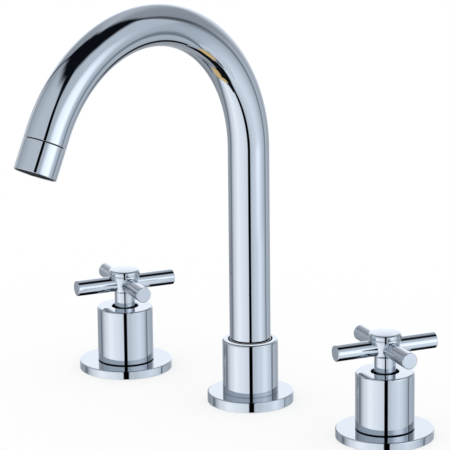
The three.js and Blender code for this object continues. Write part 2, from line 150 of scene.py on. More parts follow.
# One node tree. add() makes any node: first its settings, then the values or links of its sockets
class NodeSheet:
    def __init__(self, tree):
        self.tree = tree
        self.tree.nodes.clear()

    def add(self, kind, settings=None, sockets=None, output=0):
        node = self.tree.nodes.new(kind)
        for name, value in (settings or {}).items():
            if name == "stops":
                self.fillRamp(node.color_ramp, value)
            elif name == "easing":
                node.color_ramp.interpolation = value
            else:
                setattr(node, name, value)
        for name, value in (sockets or {}).items():
            if isinstance(value, Signal):
                self.tree.links.new(value.socket, node.inputs[name])
            else:
                node.inputs[name].default_value = value
        return Signal(self, node.outputs[output]) if len(node.outputs) else node

    def fillRamp(self, ramp, stops):
        while len(ramp.elements) > 1:
            ramp.elements.remove(ramp.elements[-1])
        ramp.elements[0].position = stops[0][0]
        ramp.elements[0].color = (*stops[0][1], 1)
        for position, colour in stops[1:]:
            ramp.elements.new(position).color = (*colour, 1)

    def maths(self, operation, first, second=0.0):
        return self.add("ShaderNodeMath", {"operation": operation}, {0: first, 1: second})

    def mixColour(self, share, first, second, blend="MIX"):
        settings = {"data_type": "RGBA", "blend_type": blend}
        return self.add("ShaderNodeMix", settings, {0: share, 6: first, 7: second}, 2)

    def smooth(self, value, start, end, low=0.0, high=1.0):
        settings = {"interpolation_type": "SMOOTHSTEP", "clamp": True}
        sockets = {0: value, 1: start, 2: end, 3: low, 4: high}
        return self.add("ShaderNodeMapRange", settings, sockets)

    def lightPath(self, output):
        return self.add("ShaderNodeLightPath", output=output)

    def isBack(self):
        return self.add("ShaderNodeNewGeometry", output="Backfacing")

    def placeAlong(self, axis):
        corner = self.add("ShaderNodeTexCoord", output="Object")
        return self.add("ShaderNodeSeparateXYZ", None, {0: corner}, axis)

    def clamped(self, value):
        return self.add("ShaderNodeClamp", None, {"Value": value})

    def apart(self, first, second):
        return self.maths("ABSOLUTE", first - second)

    def mixShader(self, share, first, second):
        return self.add("ShaderNodeMixShader", None, {0: share, 1: first, 2: second})

    # 1 inside a soft oval of directions, 0 outside
    def oval(self, azimuth, elevation, v):
        sideways = ((azimuth - v["azimuth"]) / v["halfWidth"]) ** 2
        above = ((elevation - v["elevation"]) / v["halfHeight"]) ** 2
        return self.smooth(sideways + above, 1.0, v["core"])

    def ramp(self, value, stops, easing="LINEAR"):
        return self.add("ShaderNodeValToRGB", {"stops": stops, "easing": easing}, {"Fac": value})

    def noise(self, scale, detail=2.0, rough=0.5, stretch=(1, 1, 1)):
        corner = self.add("ShaderNodeTexCoord", output="Object")
        stretched = self.add("ShaderNodeMapping", None, {"Vector": corner, "Scale": stretch})
        sockets = {"Vector": stretched, "Scale": scale, "Detail": detail, "Roughness": rough}
        return self.add("ShaderNodeTexNoise", None, sockets)


def newMaterial(name, shaderOf):
    material = bpy.data.materials.new(name)
    material.use_nodes = True
    sheet = NodeSheet(material.node_tree)
    sheet.add("ShaderNodeOutputMaterial", None, {"Surface": shaderOf(sheet)})
    return material


# The studio that the polished metal mirrors. A wall is lit from the left and from the right of the
# camera, with a dark slot for the camera, dark corners, and no light from straight above or below
studioValues = {
    "plainLevel": 1.0,            # what lights everything that doesn't mirror
    "background": 1.0,
    "coolTint": (-0.12, -0.05, 0.02),   # what coolness does to red, green and blue
    "dark": (0.006, 0.007, 0.011, 1),
    "lowWall": [                  # degrees right of the camera, brightness, how cool
        (-180, 1.10, 0.4), (-168, 0.75, 0.7), (-150, 0.48, 0.9), (-124, 0.53, 1.0), (-120, 0.30, 1.2),
        (-113, 0.28, 1.2), (-109, 0.56, 1.0), (-100, 0.88, 0.7), (-88, 1.14, 0.4), (-62, 1.40, 0.2),
        (-36, 1.28, 0.4), (-6, 1.12, 0.5), (-5, 0.0, 1.0), (8, 0.0, 1.0), (9.5, 0.86, 0.8),
        (30, 1.06, 0.8), (52, 1.18, 0.8), (70, 1.06, 0.8), (80, 0.92, 1.0), (94, 0.72, 1.2),
        (99.5, 0.34, 1.4), (103, 0.34, 1.4), (107, 0.76, 1.2), (120, 0.72, 0.9), (132, 0.62, 0.9),
        (148, 0.60, 0.9), (166, 1.00, 0.4), (180, 1.10, 0.4),
    ],
    "highWall": [
        (-180, 0.72, 0.8), (-150, 0.52, 0.8), (-130, 0.52, 0.9), (-116, 0.60, 1.0),
        (-100, 0.72, 1.0), (-60, 0.84, 0.9), (-6, 0.84, 0.8), (-5, 0.0, 1.0),
        (8, 0.0, 1.0), (9.5, 0.72, 1.0), (30, 0.80, 1.0), (60, 0.86, 1.0), (98, 0.82, 1.0),
        (100.5, 0.16, 1.2), (105, 0.16, 1.2), (108, 0.46, 1.0), (140, 0.48, 0.9), (180, 0.72, 0.8),
    ],
    "wallChange": (-8, 12),       # degrees up, where the low wall turns into the high one
    "ceilingEdge": [              # degrees right of the camera, degrees up to the dark ceiling
        (-180, 74), (-150, 66), (-138, 60), (-126, 48), (-114, 55), (-80, 61), (-30, 61), (-20, 60),
        (-12, 53), (2, 37), (10, 46), (20, 58), (45, 57), (64, 53), (81, 50), (98, 47), (103, 42),
        (108, 51), (125, 62), (144, 69), (180, 74),
    ],
    "ceilingBlur": 6,
    "floorEdge": [                # and degrees down to the dark floor
        (-180, 84), (-138, 84), (-73, 82), (-51, 76), (-25, 70), (-10, 62), (5, 56), (17, 62),
        (40, 67), (54, 71), (89, 80), (120, 82), (180, 84),
    ],
    "floorBlur": 3,
    "seam": {
        "azimuth": -126, "swing": 32, "low": -10, "high": 56, "bend": 1.3, "width": 2.8, "core": 0.6,
        "blur": 4, "depth": 0.9,
    },
    "backSlot": {"azimuth": 139, "halfWidth": 6.5, "edge": 2, "start": -20, "full": -32},
    "backDim": {"start": 140, "full": 164, "high": -18, "low": -30, "depth": 0.5},
    "lamp": {
        "azimuth": 53, "halfWidth": 36, "elevation": 6, "halfHeight": 25, "core": 0.1, "brightness": 0.72,
    },
    "backLamp": {
        "azimuth": 180, "halfWidth": 60, "elevation": 8, "halfHeight": 24, "core": 0.1, "brightness": 0.62,
    },
}


def wallColour(brightness, cool):
    return tuple(brightness * (1 + tint * cool) for tint in studioValues["coolTint"])


def wallStops(wall):
    return [((degrees + 180) / 360, wallColour(*look)) for degrees, *look in wall]


def edgeStops(edge):
    return [((degrees + 180) / 360, (height / 90,) * 3) for degrees, height in edge]


def withLamps(sheet, wall, azimuth, elevation):
    lamp, backLamp = studioValues["lamp"], studioValues["backLamp"]
    glow = sheet.oval(azimuth, elevation, lamp) * lamp["brightness"]
    backGlow = sheet.oval(sheet.apart(azimuth, 0), elevation, backLamp) * backLamp["brightness"]
    return sheet.mixColour(glow + backGlow, wall, (1, 1, 1, 1), "ADD")


def makeStudio():
    v = studioValues
    world = bpy.data.worlds.new("studio")
    world.use_nodes = True
    bpy.context.scene.world = world
    sheet = NodeSheet(world.node_tree)
    ray = sheet.add("ShaderNodeTexCoord", output="Generated")
    across = sheet.add("ShaderNodeVectorMath", {"operation": "DOT_PRODUCT"}, {0: ray, 1: rightward}, 1)
    toward = sheet.add("ShaderNodeVectorMath", {"operation": "DOT_PRODUCT"}, {0: ray, 1: towardCamera}, 1)
    upward = sheet.add("ShaderNodeSeparateXYZ", None, {0: ray}, "Z")
    azimuth = sheet.maths("ARCTAN2", across, toward) * math.degrees(1)
    elevation = sheet.maths("ARCSINE", upward) * math.degrees(1)
    around = (azimuth + 180) / 360
    lowWall = sheet.ramp(around, wallStops(v["lowWall"]), "EASE")
    highWall = sheet.ramp(around, wallStops(v["highWall"]), "EASE")
    wall = sheet.mixColour(sheet.smooth(elevation, *v["wallChange"]), lowWall, highWall)
    lit = withLamps(sheet, wall, azimuth, elevation)
    # the wall's corner leans back towards the horizon behind the object
    seam = v["seam"]
    climb = (elevation - seam["low"]) / (seam["high"] - seam["low"])
    lean = sheet.clamped(1 - climb) ** seam["bend"]
    aside = sheet.apart(azimuth + lean * seam["swing"], seam["azimuth"])
    aboveSeam = sheet.smooth(elevation, seam["low"] - seam["blur"], seam["low"])
    onSeam = sheet.smooth(aside, seam["width"], seam["core"]) * aboveSeam
    slot = v["backSlot"]
    beside = sheet.apart(azimuth, slot["azimuth"])
    lowEnough = sheet.smooth(elevation, slot["start"], slot["full"])
    inSlot = sheet.smooth(beside, slot["halfWidth"] + slot["edge"], slot["halfWidth"]) * lowEnough
    dim = v["backDim"]
    dimmed = sheet.smooth(elevation, dim["high"], dim["low"]) * dim["depth"]
    behind = sheet.smooth(sheet.apart(azimuth, 0), dim["start"], dim["full"])
    kept = (1 - onSeam * seam["depth"]) * (1 - inSlot) * (1 - behind * dimmed)
    ceiling = sheet.ramp(around, edgeStops(v["ceilingEdge"]), "EASE") * 90
    floor = sheet.ramp(around, edgeStops(v["floorEdge"]), "EASE") * -90
    below = sheet.smooth(elevation - ceiling, v["ceilingBlur"], -v["ceilingBlur"])
    grounded = sheet.smooth(elevation - floor, -v["floorBlur"], v["floorBlur"])
    mirrored = sheet.mixColour(kept * below * grounded, v["dark"], lit)
    plain = (v["plainLevel"],) * 3 + (1,)
    background = (v["background"],) * 3 + (1,)
    seen = sheet.mixColour(sheet.lightPath("Is Glossy Ray"), plain, mirrored)
    shown = sheet.mixColour(sheet.lightPath("Is Camera Ray"), seen, background)
    light = sheet.add("ShaderNodeBackground", None, {"Color": shown, "Strength": 1.0})
    sheet.add("ShaderNodeOutputWorld", None, {"Surface": light})


makeStudio()


floorValues = {
    "size": 6.0,
    "drop": 0.0003,          # under the flanges, so that the two don't flicker
    "shadowShare": 0.34,     # how much of the shadow the floor keeps
}


# White that keeps a part of the shadows, and that neither the metal nor a view from below sees
def paleFloor(sheet):
    shaded = sheet.add("ShaderNodeBsdfDiffuse", None, {"Color": (1, 1, 1, 1)})
    even = sheet.add("ShaderNodeEmission", None, {"Color": (1, 1, 1, 1), "Strength": 1.0})
    surface = sheet.mixShader(floorValues["shadowShare"], even, shaded)
    clear = sheet.add("ShaderNodeBsdfTransparent")
    unseen = sheet.maths("MAXIMUM", sheet.lightPath("Is Glossy Ray"), sheet.isBack())
    return sheet.mixShader(unseen, surface, clear)


def makeFloor():
    v = floorValues
    bpy.ops.mesh.primitive_plane_add(size=v["size"], location=(0, 0, -v["drop"]))
    floor = bpy.context.object
    floor.name = "studioFloor"
    floor.data.materials.append(newMaterial("paleFloor", paleFloor))
    floor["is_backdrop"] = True


# Cards that only the metal sees, each a painted reflection. An upright one stands between two units,
# painted with the wall, so that a unit mirrors the wall instead of its neighbour.
# A level one lies over each unit, painted as a patch of wall, of dark or of warm brass light, so that the
# arch mirrors no small parts.
# A ring under each cross is painted dark: the painted shade that the undersides of the bars mirror
valvePlace = 0.1016          # from the spout's middle to each valve's
cardValues = {
    "place": 0.048,          # from the spout's middle
    "halfWidth": 0.032,
    "bottom": -0.016,
    "fade": 0.080,           # from here up the riser sees less and less of the card
    "top": 0.102,
    "reach": 0.045,          # from the metal that mirrors the card
    "farthest": 0.1,
    "backHalfWidth": 0.014,
    "valveTop": 0.05,        # how high a card reaches for the valve that it faces
    "lampHeight": -16,       # degrees up, where the riser looks past the card
}
coverValues = {
    "height": 0.066,
    "nearest": 0.131,        # so that only the arch mirrors them
    # painted reflections: patches of wall and a dark leaf that the arch mirrors instead of small parts
    "walls": [               # place, two radii, turn, height above the lowest, brightness, how cool
        ("hotCover", (-valvePlace, 0), (0.034, 0.034), 0, 0.0, (0.5, 0.9)),
        ("coldCover", (valvePlace, 0), (0.034, 0.034), 0, 0.0, (0.98, 0.8)),
        ("footCover", (0.004, -0.008), (0.034, 0.028), -50, 0.0, (0.60, 0.9)),
        ("darkLeaf", (0.0175, -0.0265), (0.059, 0.0165), -59, 0.0005, (0.01, 0.0)),
    ],
    # painted reflections: warm brass light on cards that only the arch mirrors
    "brass": [               # the warm gleams
        ("rightGleam", (0.043, -0.007), (0.022, 0.014), -15, 0.001),
        ("leftGleam", (-0.025, -0.044), (0.027, 0.011), -12, 0.001),
        ("frontGleam", (0.006, -0.060), (0.022, 0.004), -8, 0.001),
    ],
    "paintedBrassGleam": (0.95, 0.66, 0.30, 1),
}
# the dark ring of painted shade under each cross
underValues = {
    "height": 0.0445,
    "inner": 0.012,
    "outer": 0.034,
    "hub": 0.0105,           # nothing inside this radius mirrors the ring
    "farthest": 0.008,       # and nothing farther from it than this
    "blur": 0.0016,
}


def stageCard(name, colourOf, hiddenOf):
    def shown(sheet):
        bright = sheet.add("ShaderNodeEmission", None, {"Color": colourOf(sheet), "Strength": 1.0})
        clear = sheet.add("ShaderNodeBsdfTransparent")
        return sheet.mixShader(hiddenOf(sheet), bright, clear)

    card = bpy.context.object
    card.name = name
    card.data.materials.append(newMaterial(name, shown))
    card.visible_camera = card.visible_diffuse = card.visible_shadow = False
    card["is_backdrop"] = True


def makeUprightCard(name, across, facesValve):
    v = cardValues
    tall = v["top"] - v["bottom"]
    bpy.ops.mesh.primitive_plane_add(size=1)
    bpy.context.object.data.transform(
        Matrix.Translation((across, 0, v["bottom"] + tall / 2)) @ Matrix.Rotation(-math.pi / 2, 4, "Y")
        @ Matrix.Diagonal((tall, 2 * v["halfWidth"], 1, 1)))

    def towardValve(isBack):
        return 1 - isBack if facesValve == "front" else isBack

    # the painted reflection: the wall behind the card with its lamps, as the metal in front of it would
    # see it
    def wallBehind(sheet):
        aside = sheet.maths("ARCTAN2", sheet.placeAlong("Y"), v["reach"]) * math.degrees(1)
        isBack = sheet.isBack()
        azimuth = (aside + 90) * (1 - isBack * 2) - cameraValues["azimuth"]
        wall = sheet.ramp((azimuth + 180) / 360, wallStops(studioValues["lowWall"]), "EASE")
        lit = withLamps(sheet, wall, azimuth, v["lampHeight"])
        return sheet.mixColour(towardValve(isBack), lit, wall)

    def hidden(sheet):
        isBack = sheet.isBack()
        height = sheet.placeAlong("Z")
        isFar = sheet.lightPath("Ray Length") > v["farthest"]
        isAside = isBack * (sheet.apart(sheet.placeAlong("Y"), 0) > v["backHalfWidth"])
        isAbove = (height > v["valveTop"]) * towardValve(isBack)
        return isFar + isAside + isAbove + sheet.smooth(height, v["fade"], v["top"])

    stageCard(name, wallBehind, hidden)


def makeLevelCard(name, centre, radii, turned, lift, light):
    v = coverValues
    bpy.ops.mesh.primitive_circle_add(vertices=48, radius=1, fill_type="NGON")
    bpy.context.object.data.transform(
        Matrix.Translation((*centre, v["height"] + lift)) @ Matrix.Rotation(math.radians(turned), 4, "Z")
        @ Matrix.Diagonal((*radii, 1, 1)))

    def hidden(sheet):
        return sheet.isBack() + (sheet.lightPath("Ray Length") < v["nearest"])

    stageCard(name, lambda sheet: light, hidden)


def makeUnderCard(name, across):
    v = underValues
    bpy.ops.mesh.primitive_circle_add(vertices=48, radius=v["outer"], fill_type="NGON")
    bpy.ops.object.mode_set(mode="EDIT")
    bpy.ops.mesh.select_all(action="SELECT")
    bpy.ops.mesh.inset(thickness=v["outer"] - v["inner"])
    bpy.ops.mesh.delete(type="FACE")
    bpy.ops.object.mode_set(mode="OBJECT")
    bpy.context.object.data.transform(Matrix.Translation((across, 0, v["height"])))

    def hidden(sheet):
        outward = ((sheet.placeAlong("X") - across) ** 2 + sheet.placeAlong("Y") ** 2) ** 0.5
        limit = sheet.maths("MINIMUM", outward - v["hub"], v["farthest"])
        beyond = sheet.lightPath("Ray Length") - limit
        return sheet.isBack() + sheet.smooth(beyond, -v["blur"], 0)

    # painted shade: a dark ring that only the undersides of the bars mirror
    stageCard(name, lambda sheet: studioValues["dark"], hidden)


makeFloor()
makeUnderCard("hotUnder", -valvePlace)
makeUnderCard("coldUnder", valvePlace)
makeUprightCard("leftCard", -cardValues["place"], "front")
makeUprightCard("rightCard", cardValues["place"], "back")
# the cards that paint reflections over the units
for *shape, look in coverValues["walls"]:
    makeLevelCard(*shape, (*wallColour(*look), 1))
for shape in coverValues["brass"]:
    makeLevelCard(*shape, coverValues["paintedBrassGleam"])
bpy.context.scene.view_settings.view_transform = "Standard"
print("The studio and the floor are made")


# Finishes. A pattern is the scale, detail, roughness and stretch of a noise
chromeValues = {
    "colour": (0.560, 0.600, 0.655, 1),
    "deeperColour": (0.545, 0.588, 0.648, 1),
    "cloudPattern": (38, 3),
    "roughness": 0.010,
    "smudge": 0.014,         # roughness that wiping leaves in patches
    "smudgePattern": (95, 5, 0.6, (1, 1, 0.25)),
    "smudgeRange": (0.5, 0.72),
    "ripple": 0.0000006,     # metres that the polishing leaves
    "ripplePattern": (60, 1),
    # the near black that is painted on as shade in narrow spaces and bores
    "paintedShadeColour": (0.004, 0.004, 0.005, 1),
}
brassValues = {
    "colour": (0.66, 0.49, 0.24, 1),
    "roughness": 0.24,
    "tarnishColour": (0.42, 0.28, 0.12, 1),
    "tarnishShare": 0.7,
    "tarnishRoughness": 0.12,
    "tarnishPattern": (70, 4, 0.62),
    "tarnishRange": (0.46, 0.66),
    "toolMarks": 0.000012,
    "toolMarkRoughness": 0.14,
    "toolMarkPattern": (120, 2, 0.5, (0.4, 0.4, 14)),
}
steelValues = {
    "colour": (0.52, 0.53, 0.55, 1),
    "deeperColour": (0.43, 0.44, 0.46, 1),
    "roughness": 0.3,
    "grain": 0.00001,
    "grainRoughness": 0.14,
    "grainPattern": (160, 3, 0.6, (1, 9, 1)),
}
rubberValues = {
    "colour": (0.028, 0.028, 0.031, 1),
    "roughness": 0.72,
    "bloomColour": (0.06, 0.06, 0.064, 1),
    "bloomRoughness": 0.1,
    "bloomPattern": (80, 3),
    "bloomRange": (0.5, 0.75),
    "grain": 0.00003,
    "grainPattern": (900, 2),
}
ceramicValues = {
    "colour": (0.86, 0.85, 0.80, 1),
    "roughness": 0.16,
    "speckColour": (0.74, 0.73, 0.69, 1),
    "speckRoughness": 0.2,
    "speckPattern": (1400, 2),
    "speckRange": (0.6, 0.7),
    "pits": 0.000004,
}
nylonValues = {
    "colour": (0.80, 0.79, 0.75, 1),
    "shade": (0.72, 0.71, 0.66, 1),
    "roughness": 0.42,
    "cloudRoughness": 0.12,
    "cloudPattern": (120, 3),
    "grain": 0.000012,
    "grainPattern": (700, 2),
}
sprayValues = {
    "colour": (0.030, 0.032, 0.036, 1),
    "roughness": 0.5,
    "gloss": 0.08,
    "limeColour": (0.055, 0.058, 0.064, 1),   # of the film that hard water leaves
    "limeRoughness": 0.2,
    "limeDepth": 0.00001,
    "limePattern": (420, 3),
    "limeRange": (0.45, 0.75),
}


def makeFinish(name, looksOf):
    return newMaterial(name, lambda sheet: sheet.add("ShaderNodeBsdfPrincipled", None, looksOf(sheet)))


def looks(colour, roughness, metallic, normal):
    return {"Base Color": colour, "Roughness": roughness, "Metallic": metallic, "Normal": normal}


def bumped(sheet, height, distance):
    return sheet.add("ShaderNodeBump", None, {"Strength": 1.0, "Distance": distance, "Height": height})


def polishedChrome(sheet):
    v = chromeValues
    wiped = sheet.smooth(sheet.noise(*v["smudgePattern"]), *v["smudgeRange"])
    clouded = sheet.mixColour(sheet.noise(*v["cloudPattern"]), v["colour"], v["deeperColour"])
    # painted shade: the colour turns near black where a piece marks its corners
    gap = sheet.add("ShaderNodeAttribute", {"attribute_name": "gap"}, output="Fac")
    colour = sheet.mixColour(gap, clouded, v["paintedShadeColour"])
    ripple = bumped(sheet, sheet.noise(*v["ripplePattern"]), v["ripple"])
    return looks(colour, v["roughness"] + wiped * v["smudge"], 1.0, ripple)


def bareBrass(sheet):
    v = brassValues
    lines = sheet.noise(*v["toolMarkPattern"])
    patches = sheet.smooth(sheet.noise(*v["tarnishPattern"]), *v["tarnishRange"])
    colour = sheet.mixColour(patches * v["tarnishShare"], v["colour"], v["tarnishColour"])
    roughness = v["roughness"] + lines * v["toolMarkRoughness"] + patches * v["tarnishRoughness"]
    return looks(colour, roughness, 1.0, bumped(sheet, lines, v["toolMarks"]))


def stainlessSteel(sheet):
    v = steelValues
    grain = sheet.noise(*v["grainPattern"])
    colour = sheet.mixColour(grain, v["colour"], v["deeperColour"])
    roughness = v["roughness"] + grain * v["grainRoughness"]
    return looks(colour, roughness, 1.0, bumped(sheet, grain, v["grain"]))


def blackRubber(sheet):
    v = rubberValues
    bloom = sheet.smooth(sheet.noise(*v["bloomPattern"]), *v["bloomRange"])
    colour = sheet.mixColour(bloom, v["colour"], v["bloomColour"])
    roughness = v["roughness"] + bloom * v["bloomRoughness"]
    return looks(colour, roughness, 0.0, bumped(sheet, sheet.noise(*v["grainPattern"]), v["grain"]))


def discCeramic(sheet):
    v = ceramicValues
    specks = sheet.smooth(sheet.noise(*v["speckPattern"]), *v["speckRange"])
    colour = sheet.mixColour(specks, v["colour"], v["speckColour"])
    roughness = v["roughness"] + specks * v["speckRoughness"]
    return looks(colour, roughness, 0.0, bumped(sheet, specks, v["pits"]))


def whiteNylon(sheet):
    v = nylonValues
    cloud = sheet.noise(*v["cloudPattern"])
    colour = sheet.mixColour(cloud, v["colour"], v["shade"])
    roughness = v["roughness"] + cloud * v["cloudRoughness"]
    return looks(colour, roughness, 0.0, bumped(sheet, sheet.noise(*v["grainPattern"]), v["grain"]))


def sprayPlastic(sheet):
    v = sprayValues
    film = sheet.smooth(sheet.noise(*v["limePattern"]), *v["limeRange"])
    colour = sheet.mixColour(film, v["colour"], v["limeColour"])
    roughness = v["roughness"] + film * v["limeRoughness"]
    plain = looks(colour, roughness, 0.0, bumped(sheet, film, v["limeDepth"]))
    return {**plain, "Specular IOR Level": v["gloss"]}


finishes = {
    "polished_chrome": makeFinish("polishedChrome", polishedChrome),
    "bare_brass": makeFinish("bareBrass", bareBrass),
    "stainless_steel": makeFinish("stainlessSteel", stainlessSteel),
    "black_rubber": makeFinish("blackRubber", blackRubber),
    "disc_ceramic": makeFinish("discCeramic", discCeramic),
    "white_nylon": makeFinish("whiteNylon", whiteNylon),
    "spray_plastic": makeFinish("sprayPlastic", sprayPlastic),
}
print("The finishes are made")


# Modelling by hand: what is selected, in code, by its place
modellingValues = {
    "weld": 1e-7,            # metres within which corners are merged
    "smallRound": 0.0004,    # a rounding below this has the smaller number of steps
    "smallSteps": 3,
    "steps": 6,
}
same = 1e-6                  # metres within which two places are the same
near = 1e-5                  # and within which a corner belongs to a rounded edge


def deselectAll():
    for thing in list(bpy.context.selected_objects):
        thing.select_set(False)


def selectOnly(piece, *others):
    deselectAll()
    for thing in (piece, *others):
        thing.select_set(True)
    bpy.context.view_layer.objects.active = piece


def startEdit(piece):
    selectOnly(piece)
    bpy.ops.object.mode_set(mode="EDIT")
    bpy.ops.mesh.select_all(action="DESELECT")


def endEdit():
    bpy.ops.object.mode_set(mode="OBJECT")


def middleOf(part):
    if isinstance(part, bmesh.types.BMVert):
        return part.co
    return sum((corner.co for corner in part.verts), Vector()) / len(part.verts)


def pick(kind, test):
    bpy.ops.mesh.select_mode(type=kind)
    bpy.ops.mesh.select_all(action="DESELECT")
    mesh = bmesh.from_edit_mesh(bpy.context.edit_object.data)
    parts = {"VERT": mesh.verts, "EDGE": mesh.edges, "FACE": mesh.faces}[kind]
    for part in parts:
        if test(middleOf(part), part):
            part.select_set(True)
    bmesh.update_edit_mesh(bpy.context.edit_object.data)


def pickAt(spot):
    pick("VERT", lambda co, part: (co - spot).length < same)


def closeUp():
    bpy.ops.mesh.select_all(action="SELECT")
    bpy.ops.mesh.remove_doubles(threshold=modellingValues["weld"])
    bpy.ops.mesh.normals_make_consistent(inside=False)


def smoothed(piece, angle=30):
    selectOnly(piece)
    bpy.ops.object.shade_smooth_by_angle(angle=math.radians(angle))
    modifier = piece.modifiers.new("evenShading", "WEIGHTED_NORMAL")
    modifier.keep_sharp = True
    bpy.ops.object.modifier_apply(modifier=modifier.name)
    return piece


# No light comes back out of a narrow space between two pieces, so its walls are painted near black:
# painted shade
def withPaintedShade(piece, test):
    gap = piece.data.attributes.new("gap", "FLOAT", "POINT")
    for corner, mark in zip(piece.data.vertices, gap.data):
        mark.value = 1.0 if test(corner.co) else 0.0
    return piece


# An outline drawn in the XZ plane from corner to corner: (radius, height) or (radius, height, round)
def drawOutline(name, corners, closed):
    v = modellingValues
    deselectAll()
    bpy.ops.mesh.primitive_plane_add(size=0.001)
    piece = bpy.context.object
    piece.name = piece.data.name = name
    startEdit(piece)
    bpy.ops.mesh.select_all(action="SELECT")
    bpy.ops.mesh.merge(type="CENTER")
    bpy.ops.mesh.select_all(action="SELECT")
    spots = [Vector((corner[0], 0, corner[1])) for corner in corners]
    bpy.ops.transform.translate(value=spots[0])
    for start, end in zip(spots, spots[1:]):
        bpy.ops.mesh.extrude_vertices_move(TRANSFORM_OT_translate={"value": end - start})
    if closed:
        ends = (spots[0], spots[-1])
        pick("VERT", lambda co, part: min((co - end).length for end in ends) < same)
        bpy.ops.mesh.edge_face_add()
    for spot, corner in zip(spots, corners):
        if len(corner) > 2:
            pickAt(spot)
            steps = v["smallSteps"] if corner[2] < v["smallRound"] else v["steps"]
            bpy.ops.mesh.bevel(offset=corner[2], segments=steps, affect="VERTICES")
    return piece


def turnedPiece(name, corners, sides=96, closed=True, centre=(0, 0)):
    piece = drawOutline(name, corners, closed)
    bpy.ops.mesh.select_all(action="SELECT")
    bpy.ops.mesh.spin(steps=sides, angle=math.tau, center=(0, 0, 0), axis=(0, 0, 1))
    closeUp()
    endEdit()
    smoothed(piece)
    piece.data.transform(Matrix.Translation((*centre, 0)))
    return piece


def place(piece, node, slot, movement=None):
    if movement is not None:
        piece.data.transform(movement)
    piece.data.materials.clear()
    piece.data.materials.append(finishes[slot])
    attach(piece, nodeBodies[node])
    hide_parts(node)
    return piece


def joinedTo(piece, *others):
    selectOnly(piece, *others)
    bpy.ops.object.join()
    return piece


def copied(model, name):
    piece = model.copy()
    piece.data = model.data.copy()
    piece.name = piece.data.name = name
    bpy.context.scene.collection.objects.link(piece)
    return piece


def discard(*models):
    for model in models:
        bpy.data.objects.remove(model)


# The places that the frame gives
def centreOf(node):
    low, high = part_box(node)
    return ((low.x + high.x) / 2, (low.y + high.y) / 2)


def bottomOf(node):
    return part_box(node)[0].z


def topOf(node):
    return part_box(node)[1].z


def heightsOf(node):
    return bottomOf(node), topOf(node)


def radiusOf(node):
    low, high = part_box(node)
    return (high.x - low.x) / 2


# From the origin to the axis of a valve
def ontoValve(side):
    return Matrix.Translation((*centreOf(side + "_bonnet"), 0))


# The bent tube, from its foot in the collar to the aerator
tubeValues = {
    "sides": 112,
    "bendSteps": 168,
    "bendRadius": 0.084,
    "bendDegrees": 153.5,
    "endLength": 0.0055,
    "wall": 0.001,
    "rimEdge": 0.00005,
    "gapDepth": 0.0004,      # the groove that runs round the tube at the collar's mouth
    "gapHeight": 0.0011,
}
tubeRadius = radiusOf("spout_tube")
bendStart = topOf("spout_tube") - tubeValues["bendRadius"] - tubeRadius
bendTurn = math.radians(tubeValues["bendDegrees"])
outletWay = Vector((0, -math.sin(bendTurn), math.cos(bendTurn)))
outletPlace = Vector((
    0,
    tubeValues["bendRadius"] * (math.cos(bendTurn) - 1),
    bendStart + tubeValues["bendRadius"] * math.sin(bendTurn),
)) + outletWay * tubeValues["endLength"]
outletTurn = Matrix.Translation(outletPlace) @ Matrix.Rotation(bendTurn, 4, "X")


def makeTube():
    v = tubeValues
    bottom = bottomOf("spout_tube")
    deselectAll()
    bpy.ops.mesh.primitive_circle_add(vertices=v["sides"], radius=tubeRadius, location=(0, 0, bottom))
    piece = bpy.context.object
    piece.name = piece.data.name = "spoutTube"
    bpy.ops.object.transform_apply(location=True, rotation=True, scale=True)
    startEdit(piece)
    bpy.ops.mesh.select_all(action="SELECT")
    mouth = topOf("spout_collar")
    narrow = 1 - v["gapDepth"] / tubeRadius
    bpy.ops.mesh.extrude_region_move(TRANSFORM_OT_translate={"value": (0, 0, mouth - bottom)})
    bpy.ops.mesh.extrude_region_move()
    bpy.ops.transform.resize(value=(narrow, narrow, 1))
    bpy.ops.mesh.extrude_region_move(TRANSFORM_OT_translate={"value": (0, 0, v["gapHeight"])})
    bpy.ops.mesh.extrude_region_move()
    bpy.ops.transform.resize(value=(1 / narrow, 1 / narrow, 1))
    rise = bendStart - mouth - v["gapHeight"]
    bpy.ops.mesh.extrude_region_move(TRANSFORM_OT_translate={"value": (0, 0, rise)})
    bendCentre = (0, -v["bendRadius"], bendStart)
    bpy.ops.mesh.spin(steps=v["bendSteps"], angle=-bendTurn, center=bendCentre, axis=(1, 0, 0))
    for length in (v["endLength"] - 2 * v["rimEdge"], 2 * v["rimEdge"]):
        bpy.ops.mesh.extrude_region_move(TRANSFORM_OT_translate={"value": outletWay * length})
    closeUp()
    endEdit()
    wall = piece.modifiers.new("wall", "SOLIDIFY")
    wall.thickness = v["wall"]
    wall.offset = -1
    wall.use_even_offset = True
    bpy.ops.object.modifier_apply(modifier=wall.name)

    def atOutlet(co):
        return abs((co - outletPlace).dot(outletWay)) < same

    # an edge that runs round the open end, not one that crosses the wall
    def isRim(co, edge):
        first, second = (corner.co for corner in edge.verts)
        level = abs((first - outletPlace).length - (second - outletPlace).length)
        return atOutlet(co) and atOutlet(first) and atOutlet(second) and level < same

    # painted shade on the seam at the open end and in the groove at the collar's mouth
    def inPaintedShade(co):
        atSeam = atOutlet(co) and (co - outletPlace).length < tubeRadius + near
        atMouth = mouth - near < co.z < mouth + v["gapHeight"] + near
        return atSeam or atMouth and co.xy.length < tubeRadius - v["gapDepth"] / 2

    startEdit(piece)
    pick("EDGE", isRim)
    bpy.ops.mesh.bevel(offset=v["rimEdge"], segments=3)
    endEdit()
    place(withPaintedShade(smoothed(piece), inPaintedShade), "spout_tube", "polished_chrome")


makeTube()
print("The spout's tube is bent")


